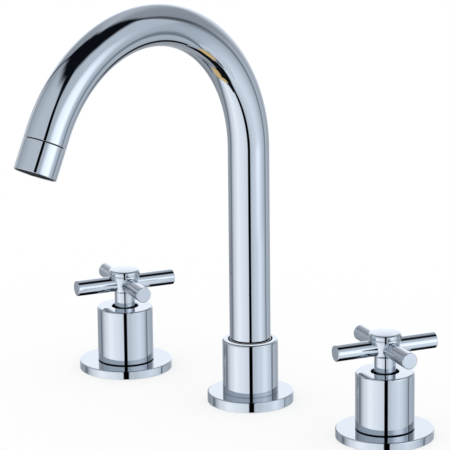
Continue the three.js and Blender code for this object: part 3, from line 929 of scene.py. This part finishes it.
# The aerator's housing closes the tube off behind a thin seam; its insert breaks the water up
aeratorValues = {
    "length": 0.018,
    "seam": 0.0008,
    "seamEdge": 0.00005,
    "bore": 0.0228,
    "edge": 0.0003,
    "spigotLength": 0.006,
    "spigotRadius": 0.0107,
    "spigotEdge": 0.0004,
    "waterway": 0.016,
    "seatDepth": 0.013,
    "insertRadius": 0.0112,
    "insertRim": 0.0012,
    "insertBottom": 0.0070,
    "insertTop": 0.0178,
    "cellRadius": 0.00088,
    "cellWall": 0.00016,
    "cellDepth": 0.003,
    "cellLift": 0.00075,     # from the rim down to the honeycomb
    "washerRadius": 0.00985,
    "washerThickness": 0.0014,
    "washerGap": 0.0003,
}


def makeAeratorHousing():
    v = aeratorValues
    seat = v["length"] - v["seatDepth"]
    corners = [
        (v["waterway"] / 2, -v["spigotLength"]),
        (v["spigotRadius"], -v["spigotLength"], v["spigotEdge"]),
        (v["spigotRadius"], v["seam"]),
        (tubeRadius, v["seam"], v["seamEdge"]),
        (tubeRadius, v["length"], v["edge"]),
        (v["bore"] / 2, v["length"], v["edge"]),
        (v["bore"] / 2, seat),
        (v["waterway"] / 2, seat),
    ]
    piece = turnedPiece("aeratorHousing", corners, 112)

    # painted shade in the bore round the insert and on the seam
    def inPaintedShade(co):
        inBore = co.z > seat - same and co.xy.length < v["bore"] / 2 + same
        return inBore or co.z < v["seam"] + same

    place(withPaintedShade(piece, inPaintedShade), "aerator_housing", "polished_chrome", outletTurn)


def cellCentres(reach, pitch):
    rows = int(reach / pitch) + 1
    centres = []
    for row in range(-rows, rows + 1):
        for column in range(-2 * rows, 2 * rows + 1):
            x = (column + (row % 2) / 2) * pitch
            y = row * pitch * math.sqrt(3) / 2
            if math.hypot(x, y) < reach:
                centres.append((x, y))
    return centres


def makeAeratorInsert():
    v = aeratorValues
    rimInner = v["insertRadius"] - v["insertRim"]
    ring = turnedPiece("aeratorInsert", [
        (rimInner, v["insertBottom"]),
        (v["insertRadius"], v["insertBottom"], v["edge"]),
        (v["insertRadius"], v["insertTop"], v["edge"]),
        (rimInner, v["insertTop"], v["edge"]),
    ], 72)
    pitch = v["cellRadius"] * math.sqrt(3)
    bpy.ops.mesh.primitive_circle_add(vertices=6, radius=v["cellRadius"], fill_type="NGON")
    net = bpy.context.object
    startEdit(net)
    bpy.ops.mesh.delete(type="VERT")
    height = v["insertTop"] - v["cellLift"]
    for x, y in cellCentres(rimInner + v["cellRadius"] / 2, pitch):
        bpy.ops.mesh.primitive_circle_add(
            vertices=6, radius=v["cellRadius"], fill_type="NGON", location=(x, y, height))
    bpy.ops.mesh.select_mode(type="FACE")
    bpy.ops.mesh.select_all(action="SELECT")
    bpy.ops.mesh.inset(thickness=v["cellWall"], use_individual=True)
    bpy.ops.mesh.delete(type="FACE")
    bpy.ops.mesh.select_all(action="SELECT")
    bpy.ops.mesh.remove_doubles(threshold=1e-6)
    bpy.ops.mesh.extrude_region_move(TRANSFORM_OT_translate={"value": (0, 0, -v["cellDepth"])})
    closeUp()
    endEdit()
    place(smoothed(joinedTo(ring, net)), "aerator_insert", "spray_plastic", outletTurn)


makeAeratorHousing()
makeAeratorInsert()
print("The aerator is made")


# The collar round the foot of the tube
collarValues = {
    "diameter": 0.0326, "bore": 0.0254, "thread": 0.0292, "stepHeight": 0.0171,
    "edge": 0.0013, "mouthEdge": 0.0007, "footEdge": 0.0003, "paintedShadeReach": 0.0005,
}


def makeCollar():
    v = collarValues
    bottom, top = heightsOf("spout_collar")
    corners = [
        (v["thread"] / 2, bottom),
        (v["diameter"] / 2, bottom, v["footEdge"]),
        (v["diameter"] / 2, top, v["edge"]),
        (v["bore"] / 2, top, v["mouthEdge"]),
        (v["bore"] / 2, v["stepHeight"]),
        (v["thread"] / 2, v["stepHeight"]),
    ]
    piece = turnedPiece("spoutCollar", corners, 112)
    # painted shade on the bore's wall near its mouth
    withPaintedShade(piece, lambda co: co.xy.length < v["bore"] / 2 + v["paintedShadeReach"])
    place(piece, "spout_collar", "polished_chrome")


makeCollar()


# The round plates on the deck, each with a groove for its gasket
flangeValues = {
    "bore": 0.027, "edge": 0.0007, "footEdge": 0.0003, "grooveRim": 0.004, "grooveWidth": 0.004,
    "grooveDepth": 0.002,
}


def makeFlange(side):
    v = flangeValues
    node = side + "_flange"
    bottom, top = heightsOf(node)
    rim = radiusOf(node)
    grooveOuter = rim - v["grooveRim"]
    grooveInner = grooveOuter - v["grooveWidth"]
    corners = [
        (v["bore"] / 2, bottom),
        (grooveInner, bottom),
        (grooveInner, bottom + v["grooveDepth"]),
        (grooveOuter, bottom + v["grooveDepth"]),
        (grooveOuter, bottom),
        (rim, bottom, v["footEdge"]),
        (rim, top, v["edge"]),
        (v["bore"] / 2, top),
    ]
    piece = turnedPiece(side + "Flange", corners, 128, centre=centreOf(node))
    place(piece, node, "polished_chrome")


for side in ("spout", "hot", "cold"):
    makeFlange(side)
print("The collar and the flanges are made")


# The covers over the cartridges, open at the top for the handle's neck
bonnetValues = {
    "diameter": 0.0336, "hole": 0.016, "wall": 0.0023, "topThickness": 0.003,
    "threadLength": 0.008, "threadBore": 0.027, "footDepth": 0.0009, "footHeight": 0.0006,
    "edge": 0.001, "footEdge": 0.0001, "holeEdge": 0.0004,
}


def makeBonnet(side):
    v = bonnetValues
    node = side + "_bonnet"
    outer = v["diameter"] / 2
    relief = outer - v["wall"]
    bottom, top = heightsOf(node)
    corners = [
        (v["threadBore"] / 2, bottom),
        (outer - v["footDepth"], bottom),
        (outer - v["footDepth"], bottom + v["footHeight"]),
        (outer, bottom + v["footHeight"], v["footEdge"]),
        (outer, top, v["edge"]),
        (v["hole"] / 2, top, v["holeEdge"]),
        (v["hole"] / 2, top - v["topThickness"]),
        (relief, top - v["topThickness"]),
        (relief, bottom + v["threadLength"]),
        (v["threadBore"] / 2, bottom + v["threadLength"]),
    ]
    piece = turnedPiece(side + "Bonnet", corners, 112, centre=centreOf(node))
    # painted shade on the recessed foot
    withPaintedShade(piece, lambda co: co.z < bottom + v["footHeight"] + near)
    place(piece, node, "polished_chrome")


for side in ("hot", "cold"):
    makeBonnet(side)
print("The bonnets are made")


# The cross handles, modelled once at the origin and copied to both valves
handleValues = {
    "turnDegrees": 66,
    "neckDiameter": 0.0123,
    "neckEdge": 0.0004,
    "bottomDiameter": 0.0131,    # of the cone, which starts just below the bars
    "coneDrop": 0.00045,
    "coneStep": 0.0002,
    "coneEdge": 0.0003,
    "topDiameter": 0.0185,
    "rimDrop": 0.0009,
    "rimEdge": 0.0004,
    "seam": 0.0001,              # between the hub and its cap
    "seamDepth": 0.0003,
    "stemSocket": 0.0082,
    "socketDepth": 0.007,
    "recess": 0.009,
    "recessDepth": 0.004,
    "barDiameter": 0.0093,
    "barEdge": 0.0005,
    "span": 0.062,
    "barRoot": 0.0062,
    "capFit": 0.0003,
    "capFootEdge": 0.0003,
    "capEdge": 0.0012,
    "capDome": 0.0005,
    "domeMiddle": 0.00014,       # how far the dome has sunk half way out
    "domeRound": 0.003,
}


def hubModel():
    v = handleValues
    bottom, top = heightsOf("hot_handle_hub")
    waist = topOf("hot_handle_bar_1") - v["barDiameter"] - v["coneDrop"]
    corners = [
        (v["stemSocket"] / 2, bottom),
        (v["neckDiameter"] / 2, bottom, v["neckEdge"]),
        (v["neckDiameter"] / 2, waist - v["coneStep"]),
        (v["bottomDiameter"] / 2, waist, v["coneEdge"]),
        (v["topDiameter"] / 2, top - v["rimDrop"], v["rimEdge"]),
        (v["topDiameter"] / 2 - v["seamDepth"], top - v["seam"]),
        (v["recess"] / 2, top - v["seam"]),
        (v["recess"] / 2, top - v["recessDepth"]),
        (v["stemSocket"] / 2, top - v["socketDepth"]),
    ]
    return turnedPiece("hubModel", corners, 96)


def barModel():
    v = handleValues
    radius = v["barDiameter"] / 2
    corners = [
        (0, v["barRoot"]),
        (radius, v["barRoot"]),
        (radius, v["span"] / 2, v["barEdge"]),
        (0, v["span"] / 2),
    ]
    piece = turnedPiece("barModel", corners, 80, closed=False)
    height = sum(heightsOf("hot_handle_bar_1")) / 2
    lying = Matrix.Translation((0, 0, height)) @ Matrix.Rotation(math.pi / 2, 4, "Y")
    piece.data.transform(lying)
    return piece


def capModel():
    v = handleValues
    bottom, top = heightsOf("hot_index_cap")
    seat = topOf("hot_handle_hub")
    rim = v["topDiameter"] / 2
    plug = v["recess"] / 2 - v["capFit"]
    corners = [
        (0, bottom),
        (plug, bottom, v["capFootEdge"]),
        (plug, seat),
        (rim, seat, v["capFootEdge"]),
        (rim, top - v["capDome"], v["capEdge"]),
        (rim / 2, top - v["domeMiddle"], v["domeRound"]),
        (0, top),
    ]
    return turnedPiece("capModel", corners, 96, closed=False)


def makeHandles():
    hub, bar, cap = hubModel(), barModel(), capModel()
    for side in ("hot", "cold"):
        centre = ontoValve(side)
        place(copied(hub, side + "HandleHub"), side + "_handle_hub", "polished_chrome", centre)
        place(copied(cap, side + "IndexCap"), side + "_index_cap", "polished_chrome", centre)
        for number in range(4):
            angle = math.radians(handleValues["turnDegrees"] + 90 * number)
            turned = centre @ Matrix.Rotation(angle, 4, "Z")
            name = f"{side}HandleBar{number + 1}"
            place(copied(bar, name), f"{side}_handle_bar_{number + 1}", "polished_chrome", turned)
    discard(hub, bar, cap)


makeHandles()
print("The cross handles are made")


# What the hidden pieces are put together with
rounds = {"fine": 0.0002, "small": 0.0003, "turned": 0.0004, "wide": 0.0005, "broad": 0.0006}
past = 0.001                 # how far a cutting tool reaches past what it cuts


def combined(piece, other, operation):
    selectOnly(piece)
    modifier = piece.modifiers.new("combine", "BOOLEAN")
    modifier.operation = operation
    modifier.solver = "EXACT"
    modifier.object = other
    bpy.ops.object.modifier_apply(modifier=modifier.name)
    discard(other)
    return piece


def rod(radius, bottom, top, edge=0.0, sides=64):
    corners = [(0, bottom), (radius, bottom), (radius, top), (0, top)]
    if edge:
        corners[1], corners[2] = (radius, bottom, edge), (radius, top, edge)
    return turnedPiece("rod", corners, sides, closed=False)


def turnedTo(piece, movement):
    piece.data.transform(movement)
    return piece


def box(size, centre):
    bpy.ops.mesh.primitive_cube_add(size=1)
    piece = bpy.context.object
    return turnedTo(piece, Matrix.Translation(centre) @ Matrix.Diagonal((*size, 1)))


def hexagon(flats, bottom, top):
    depth = top - bottom
    bpy.ops.mesh.primitive_cylinder_add(vertices=6, radius=flats / math.sqrt(3), depth=depth)
    middle = Matrix.Translation((0, 0, (bottom + top) / 2))
    return turnedTo(bpy.context.object, middle @ Matrix.Rotation(math.radians(30), 4, "Z"))


# A hexagon whose corners are turned off above and below, bored through
nutValues = {"cornerReach": 0.0004, "faceInset": 0.0002, "slope": 0.58, "mouth": 0.0006}


def hexagonRing(name, flats, bore, bottom, top):
    v = nutValues
    corner = flats / math.sqrt(3) + v["cornerReach"]
    face = flats / 2 - v["faceInset"]
    slope = (corner - face) * v["slope"]
    lens = turnedPiece("lens", [
        (0, bottom), (face, bottom), (corner, bottom + slope),
        (corner, top - slope), (face, top), (0, top),
    ], 72, closed=False)
    mouth = bore + v["mouth"]
    bored = turnedPiece("bored", [
        (0, bottom - past), (mouth, bottom - past), (mouth, bottom), (bore, bottom + v["mouth"]),
        (bore, top - v["mouth"]), (mouth, top), (mouth, top + past), (0, top + past),
    ], 72, closed=False)
    piece = combined(hexagon(flats, bottom, top), lens, "INTERSECT")
    piece.name = piece.data.name = name
    return smoothed(combined(piece, bored, "DIFFERENCE"))


# The thread of a pipe: a closed ridge that climbs round the core
threadValues = {
    "pitch": 0.001814, "depth": 0.00095, "steps": 40, "crest": 0.08, "root": 0.46, "sink": 0.0002,
    "fromMouth": 0.0006, "fromShoulder": 0.0004,
}


def threadRidge(crest, bottom, top):
    v = threadValues
    pitch = v["pitch"]
    start = bottom + v["root"] * pitch
    core = crest - v["depth"] - v["sink"]
    ridge = drawOutline("threadRidge", [
        (core, start - v["root"] * pitch), (crest, start - v["crest"] * pitch),
        (crest, start + v["crest"] * pitch), (core, start + v["root"] * pitch),
    ], True)
    endEdit()
    climb = ridge.modifiers.new("climb", "SCREW")
    climb.axis = "Z"
    climb.angle = math.tau
    climb.screw_offset = pitch
    climb.iterations = int((top - bottom) / pitch) - 1
    climb.steps = climb.render_steps = v["steps"]
    bpy.ops.object.modifier_apply(modifier=climb.name)
    startEdit(ridge)
    bpy.ops.mesh.select_all(action="SELECT")
    bpy.ops.mesh.fill_holes(sides=4)
    closeUp()
    endEdit()
    return smoothed(ridge)


def ring(name, inner, outer, bottom, top, edge, centre=(0, 0)):
    corners = [(inner, bottom, edge), (outer, bottom, edge), (outer, top, edge), (inner, top, edge)]
    return turnedPiece(name, corners, 72, centre=centre)


def ringAt(name, node, inner, edge):
    return ring(name, inner, radiusOf(node), *heightsOf(node), edge, centreOf(node))


# What clamps each unit to the deck: a gasket above it, two washers and a nut below it
clampValues = {"bore": 0.0135, "nutFlats": 0.036, "gasketWidth": 0.0034}


def makeClamp(side):
    v = clampValues
    gasket, rubber, steel, nut = (
        side + ending for ending in ("_gasket", "_rubber_washer", "_steel_washer", "_lock_nut"))
    gasketBore = radiusOf(gasket) - v["gasketWidth"]
    place(ringAt(side + "Gasket", gasket, gasketBore, rounds["small"]), gasket, "black_rubber")
    place(ringAt(side + "RubberWasher", rubber, v["bore"], rounds["wide"]), rubber, "black_rubber")
    place(ringAt(side + "SteelWasher", steel, v["bore"], rounds["fine"]), steel, "stainless_steel")
    piece = hexagonRing(side + "LockNut", v["nutFlats"], v["bore"], *heightsOf(nut))
    place(piece, nut, "bare_brass", Matrix.Translation((*centreOf(nut), 0)))


for side in ("spout", "hot", "cold"):
    makeClamp(side)
print("The gaskets, washers and nuts are made")


# The spout's threaded shank, with the spigot that the spout turns on, and what seals and guides it
swivelValues = {
    "shank": 0.0132,
    "inlet": 0.01045,
    "waterway": 0.0045,
    "threadStart": -0.05,
    "threadEnd": 0.002,
    "runOut": 0.001,
    "shoulder": 0.0143,
    "shoulderBottom": 0.006,
    "shoulderTop": 0.011,
    "spigot": 0.0082,
    "grooveFloor": 0.0064,
    "grooveHalf": 0.0012,
    "grooves": (0.016, 0.023),
    "footBore": 0.0086,
    "footSleeve": 0.0107,
    "footFlange": 0.014,
    "footStep": 0.0152,
    "glideBore": 0.0123,
}


def makeSpoutShank():
    v = swivelValues
    bottom, top = heightsOf("spout_shank")
    depth = threadValues["depth"]
    corners = [
        (v["waterway"], bottom, rounds["turned"]),
        (v["inlet"] - depth, bottom, rounds["turned"]),
        (v["inlet"] - depth, v["threadStart"]),
        (v["shank"] - depth, v["threadStart"], rounds["broad"]),
        (v["shank"] - depth, v["threadEnd"]),
        (v["shank"], v["threadEnd"] + depth),
        (v["shank"], v["shoulderBottom"]),
        (v["shoulder"], v["shoulderBottom"], rounds["small"]),
        (v["shoulder"], v["shoulderTop"], rounds["small"]),
        (v["spigot"], v["shoulderTop"]),
    ]
    for height in v["grooves"]:
        low, high = height - v["grooveHalf"], height + v["grooveHalf"]
        corners += [
            (v["spigot"], low), (v["grooveFloor"], low), (v["grooveFloor"], high), (v["spigot"], high)]
    corners += [(v["spigot"], top, rounds["broad"]), (v["waterway"], top, rounds["small"])]
    piece = joinedTo(
        turnedPiece("spoutShank", corners),
        threadRidge(v["inlet"], bottom + threadValues["fromMouth"], v["threadStart"] - v["runOut"]),
        threadRidge(v["shank"], v["threadStart"] + threadValues["fromShoulder"], v["threadEnd"]))
    place(piece, "spout_shank", "bare_brass")


def makeSwivel():
    v = swivelValues
    bottom, top = heightsOf("spout_foot")
    foot = turnedPiece("spoutFoot", [
        (v["footBore"], bottom, rounds["small"]), (v["footFlange"], bottom, rounds["small"]),
        (v["footFlange"], v["footStep"], rounds["small"]), (v["footSleeve"], v["footStep"]),
        (v["footSleeve"], top, rounds["turned"]), (v["footBore"], top, rounds["turned"]),
    ])
    place(foot, "spout_foot", "bare_brass")
    lower, upper = "swivel_glide_lower", "swivel_glide_upper"
    place(ringAt("swivelGlideLower", lower, v["footBore"], rounds["fine"]), lower, "white_nylon")
    place(ringAt("swivelGlideUpper", upper, v["glideBore"], rounds["fine"]), upper, "white_nylon")
    for number in (1, 2):
        node = f"swivel_o_ring_{number}"
        low, high = heightsOf(node)
        room = (v["spigot"] + v["footBore"]) / 2 - v["grooveFloor"]
        cord = min(room, high - low) / 2
        bpy.ops.mesh.primitive_torus_add(
            major_radius=radiusOf(node) - cord, minor_radius=cord, major_segments=96, minor_segments=20,
            location=(0, 0, (low + high) / 2))
        bpy.ops.object.transform_apply(location=True, rotation=True, scale=True)
        piece = bpy.context.object
        piece.name = piece.data.name = f"swivelORing{number}"
        place(smoothed(piece), node, "black_rubber")


makeSpoutShank()
makeSwivel()
print("The spout's shank and swivel are made")


def makeAeratorWasher():
    v = aeratorValues
    bottom = v["length"] - v["seatDepth"] + v["washerGap"]
    top = bottom + v["washerThickness"]
    piece = ring("aeratorWasher", v["waterway"] / 2, v["washerRadius"], bottom, top, rounds["small"])
    place(piece, "aerator_washer", "black_rubber", outletTurn)


makeAeratorWasher()


# The valve's cast body: inlet below, pocket for the cartridge above, outlet branch to the side
valveValues = {
    "inlet": 0.01045,
    "body": 0.0155,
    "bodyEdge": 0.0012,
    "shank": 0.0132,
    "branchHeight": -0.0625,
    "branchReach": 0.027,
    "branchThread": 0.0165,
    "branchBore": 0.0047,
    "branchRunOut": 0.0004,
    "branchCollar": 0.01105,
    "branchCollarEnd": 0.0161,
    "pocket": 0.0095,
    "pocketFloor": 0.0027,
    "waterway": 0.0037,
    "mouth": 0.0065,
    "mouthDepth": 0.007,
    "duct": 0.0021,
    "ductPlace": 0.0073,
    "bodyBottom": -0.075,
    "bodyTop": -0.05,
    "runOut": 0.0008,
}


def valveBodyModel():
    v = valveValues
    bottom, top = heightsOf("hot_valve_body")
    depth, fromMouth = threadValues["depth"], threadValues["fromMouth"]
    fromShoulder = threadValues["fromShoulder"]
    branchTurn = Matrix.Translation((0, 0, v["branchHeight"])) @ Matrix.Rotation(math.pi / 2, 4, "Y")
    piece = turnedPiece("valveBodyModel", [
        (0, bottom),
        (v["inlet"] - depth, bottom, rounds["turned"]),
        (v["inlet"] - depth, v["bodyBottom"]),
        (v["body"], v["bodyBottom"], v["bodyEdge"]),
        (v["body"], v["bodyTop"], v["bodyEdge"]),
        (v["shank"] - depth, v["bodyTop"]),
        (v["shank"] - depth, top, rounds["turned"]),
        (0, top),
    ], closed=False)
    collar = turnedTo(rod(v["branchCollar"], 0, v["branchCollarEnd"], rounds["broad"]), branchTurn)
    branch = turnedTo(rod(v["inlet"] - depth, 0, v["branchReach"], rounds["turned"]), branchTurn)
    combined(piece, collar, "UNION")
    combined(piece, branch, "UNION")
    duct = rod(v["duct"], v["branchHeight"], v["pocketFloor"] + past)
    port = rod(v["branchBore"], v["ductPlace"] - v["duct"], v["branchReach"] + past)
    for tool in (
        rod(v["pocket"], v["pocketFloor"], top + past),
        rod(v["waterway"], bottom - past, v["pocketFloor"] + past),
        rod(v["mouth"], bottom - past, bottom + v["mouthDepth"]),
        turnedTo(duct, Matrix.Translation((v["ductPlace"], 0, 0))),
        turnedTo(port, branchTurn),
    ):
        combined(piece, tool, "DIFFERENCE")
    smoothed(piece)
    branchRidge = threadRidge(v["inlet"], v["branchThread"], v["branchReach"] - v["branchRunOut"])
    return joinedTo(
        piece,
        threadRidge(v["inlet"], bottom + fromMouth, v["bodyBottom"] - v["runOut"]),
        threadRidge(v["shank"], v["bodyTop"] + fromShoulder, top - fromMouth),
        turnedTo(branchRidge, branchTurn))


# The cartridge: a barrel that screws into the body's pocket, a stem, and two ceramic discs on a seal
cartridgeValues = {
    "chamber": 0.007,
    "wall": 0.0013,
    "thread": 0.0088,
    "threadStart": 0.014,
    "threadEnd": 0.018,
    "head": 0.007,
    "nutFlats": 0.023,
    "nutTop": 0.022,
    "nutBore": 0.0053,
    "stemHole": 0.0041,
    "chamberTop": 0.0158,
    "windowWidth": 0.005,
    "windowReach": 0.0184,
    "disc": 0.0067,
    "discEdge": 0.0002,
    "port": 0.0015,
    "portPlace": 0.0039,
    "keyLength": 0.008,
    "keyWidth": 0.0026,
    "keyDepth": 0.0012,
    "fit": 0.0003,
    "sealWidth": 0.0024,
    "stem": 0.0038,
    "footTop": 0.0155,
    "tap": 0.0023,
    "tapDepth": 0.011,
    "teeth": 20,
    "toothWidth": 0.0006,
    "toothLength": 0.008,
    "toothPast": 0.0001,
}


def barrelModel():
    v = cartridgeValues
    bottom, top = heightsOf("hot_cartridge_barrel")
    outer = v["chamber"] + v["wall"]
    piece = turnedPiece("barrelModel", [
        (v["chamber"], bottom, rounds["fine"]), (outer, bottom, rounds["fine"]), (outer, v["threadStart"]),
        (v["thread"], v["threadStart"], rounds["fine"]), (v["thread"], v["threadEnd"]),
        (v["head"], v["threadEnd"]), (v["head"], top, rounds["wide"]),
        (v["stemHole"], top, rounds["small"]), (v["stemHole"], v["chamberTop"]),
        (v["chamber"], v["chamberTop"]),
    ])
    nut = hexagonRing("barrelNut", v["nutFlats"], v["nutBore"], v["threadEnd"], v["nutTop"])
    combined(piece, nut, "UNION")
    low, high = heightsOf("hot_moving_disc")
    window = box((2 * v["windowReach"], v["windowWidth"], high - low), (0, 0, (low + high) / 2))
    return smoothed(combined(piece, window, "DIFFERENCE"))


def discModel(node, acrossX):
    v = cartridgeValues
    bottom, top = heightsOf(node)
    piece = rod(v["disc"], bottom, top, v["discEdge"], 72)
    for side in (-1, 1):
        middle = (side * v["portPlace"], 0, 0) if acrossX else (0, side * v["portPlace"], 0)
        port = turnedTo(rod(v["port"], bottom - past, top + past, 0, 32), Matrix.Translation(middle))
        combined(piece, port, "DIFFERENCE")
    return piece


def movingDiscModel():
    v = cartridgeValues
    piece = discModel("hot_moving_disc", True)
    slot = box(
        (v["keyWidth"] + 2 * v["fit"], v["keyLength"] + 2 * v["fit"], 2 * v["keyDepth"]),
        (0, 0, topOf("hot_moving_disc")))
    return smoothed(combined(piece, slot, "DIFFERENCE"))


def stemModel():
    v = cartridgeValues
    top = topOf("hot_valve_stem")
    bottom = bottomOf("hot_valve_stem") + v["keyDepth"]
    piece = turnedPiece("stemModel", [
        (0, bottom), (v["disc"], bottom, rounds["fine"]), (v["disc"], v["footTop"], rounds["fine"]),
        (v["stem"], v["footTop"]), (v["stem"], top, rounds["turned"]), (v["tap"], top, rounds["small"]),
        (v["tap"], top - v["tapDepth"]), (0, top - v["tapDepth"] - v["tap"] / 2),
    ], closed=False)
    key = box((v["keyWidth"], v["keyLength"], 2 * v["keyDepth"]), (0, 0, bottom))
    combined(piece, key, "UNION")
    notches = []
    middle = top + v["toothPast"] - v["toothLength"] / 2
    for number in range(v["teeth"]):
        notch = box((v["toothWidth"], v["toothWidth"], v["toothLength"]), (0, 0, middle))
        turned = Matrix.Rotation(math.tau * number / v["teeth"], 4, "Z")
        outward = Matrix.Translation((v["stem"], 0, 0)) @ Matrix.Rotation(math.pi / 4, 4, "Z")
        notches.append(turnedTo(notch, turned @ outward))
    combined(piece, joinedTo(*notches), "DIFFERENCE")
    return smoothed(piece)


def sealModel():
    v = cartridgeValues
    inner = v["disc"] - v["sealWidth"]
    bottom, top = heightsOf("hot_seat_seal")
    return ring("sealModel", inner, v["disc"], bottom, top, rounds["turned"])


def makeValves():
    models = {
        "valve_body": (valveBodyModel(), "bare_brass"),
        "cartridge_barrel": (barrelModel(), "bare_brass"),
        "fixed_disc": (smoothed(discModel("hot_fixed_disc", False)), "disc_ceramic"),
        "moving_disc": (movingDiscModel(), "disc_ceramic"),
        "valve_stem": (stemModel(), "bare_brass"),
        "seat_seal": (sealModel(), "black_rubber"),
    }
    for side, facing in (("hot", 0), ("cold", math.pi)):
        centre = ontoValve(side) @ Matrix.Rotation(facing, 4, "Z")
        for ending, (model, slot) in models.items():
            words = ending.title().replace("_", "")
            place(copied(model, side + words), f"{side}_{ending}", slot, centre)
    discard(*(model for model, slot in models.values()))


makeValves()
print("The valves are made")


# The screw that holds each handle on its stem
screwValues = {
    "head": 0.0038, "headHeight": 0.0022, "shaft": 0.002, "drive": 0.0025, "driveDepth": 0.00147,
}


def makeHandleScrews():
    v = screwValues
    bottom, top = heightsOf("hot_handle_screw")
    seat = top - v["headHeight"]
    model = turnedPiece("screwModel", [
        (0, bottom), (v["shaft"], bottom, rounds["wide"]), (v["shaft"], seat),
        (v["head"], seat, rounds["fine"]), (v["head"], top, rounds["turned"]), (0, top),
    ], 64, closed=False)
    smoothed(combined(model, hexagon(v["drive"], top - v["driveDepth"], top + past), "DIFFERENCE"))
    for side in ("hot", "cold"):
        turned = ontoValve(side) @ Matrix.Rotation(math.radians(handleValues["turnDegrees"]), 4, "Z")
        place(copied(model, side + "HandleScrew"), side + "_handle_screw", "stainless_steel", turned)
    discard(model)


makeHandleScrews()
print("The handle screws are made")


# The frame's own pieces carry the same finishes as those that take their places
nodeFinishes = {
    "black_rubber": ("gasket", "rubber_washer", "o_ring", "seal", "aerator_washer"),
    "stainless_steel": ("steel_washer", "handle_screw"),
    "disc_ceramic": ("disc",),
    "white_nylon": ("glide",),
    "spray_plastic": ("aerator_insert",),
    "bare_brass": ("foot", "shank", "lock_nut", "valve_body", "barrel", "stem"),
}


def slotOf(node):
    for slot, endings in nodeFinishes.items():
        if any(ending in node for ending in endings):
            return slot
    return "polished_chrome"


for nodeName, nodeObject in frame["nodes"].items():
    nodeObject.data.materials.clear()
    nodeObject.data.materials.append(finishes[slotOf(nodeName)])
print("The frame's own pieces have their finishes")

# The polished metal mirrors the covers and the handles, but not the tube or what lies hidden
mirrored = ("Flange", "Collar", "Bonnet", "HandleHub", "HandleBar", "IndexCap")
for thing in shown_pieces():
    thing.visible_glossy = any(word in thing.name for word in mirrored)
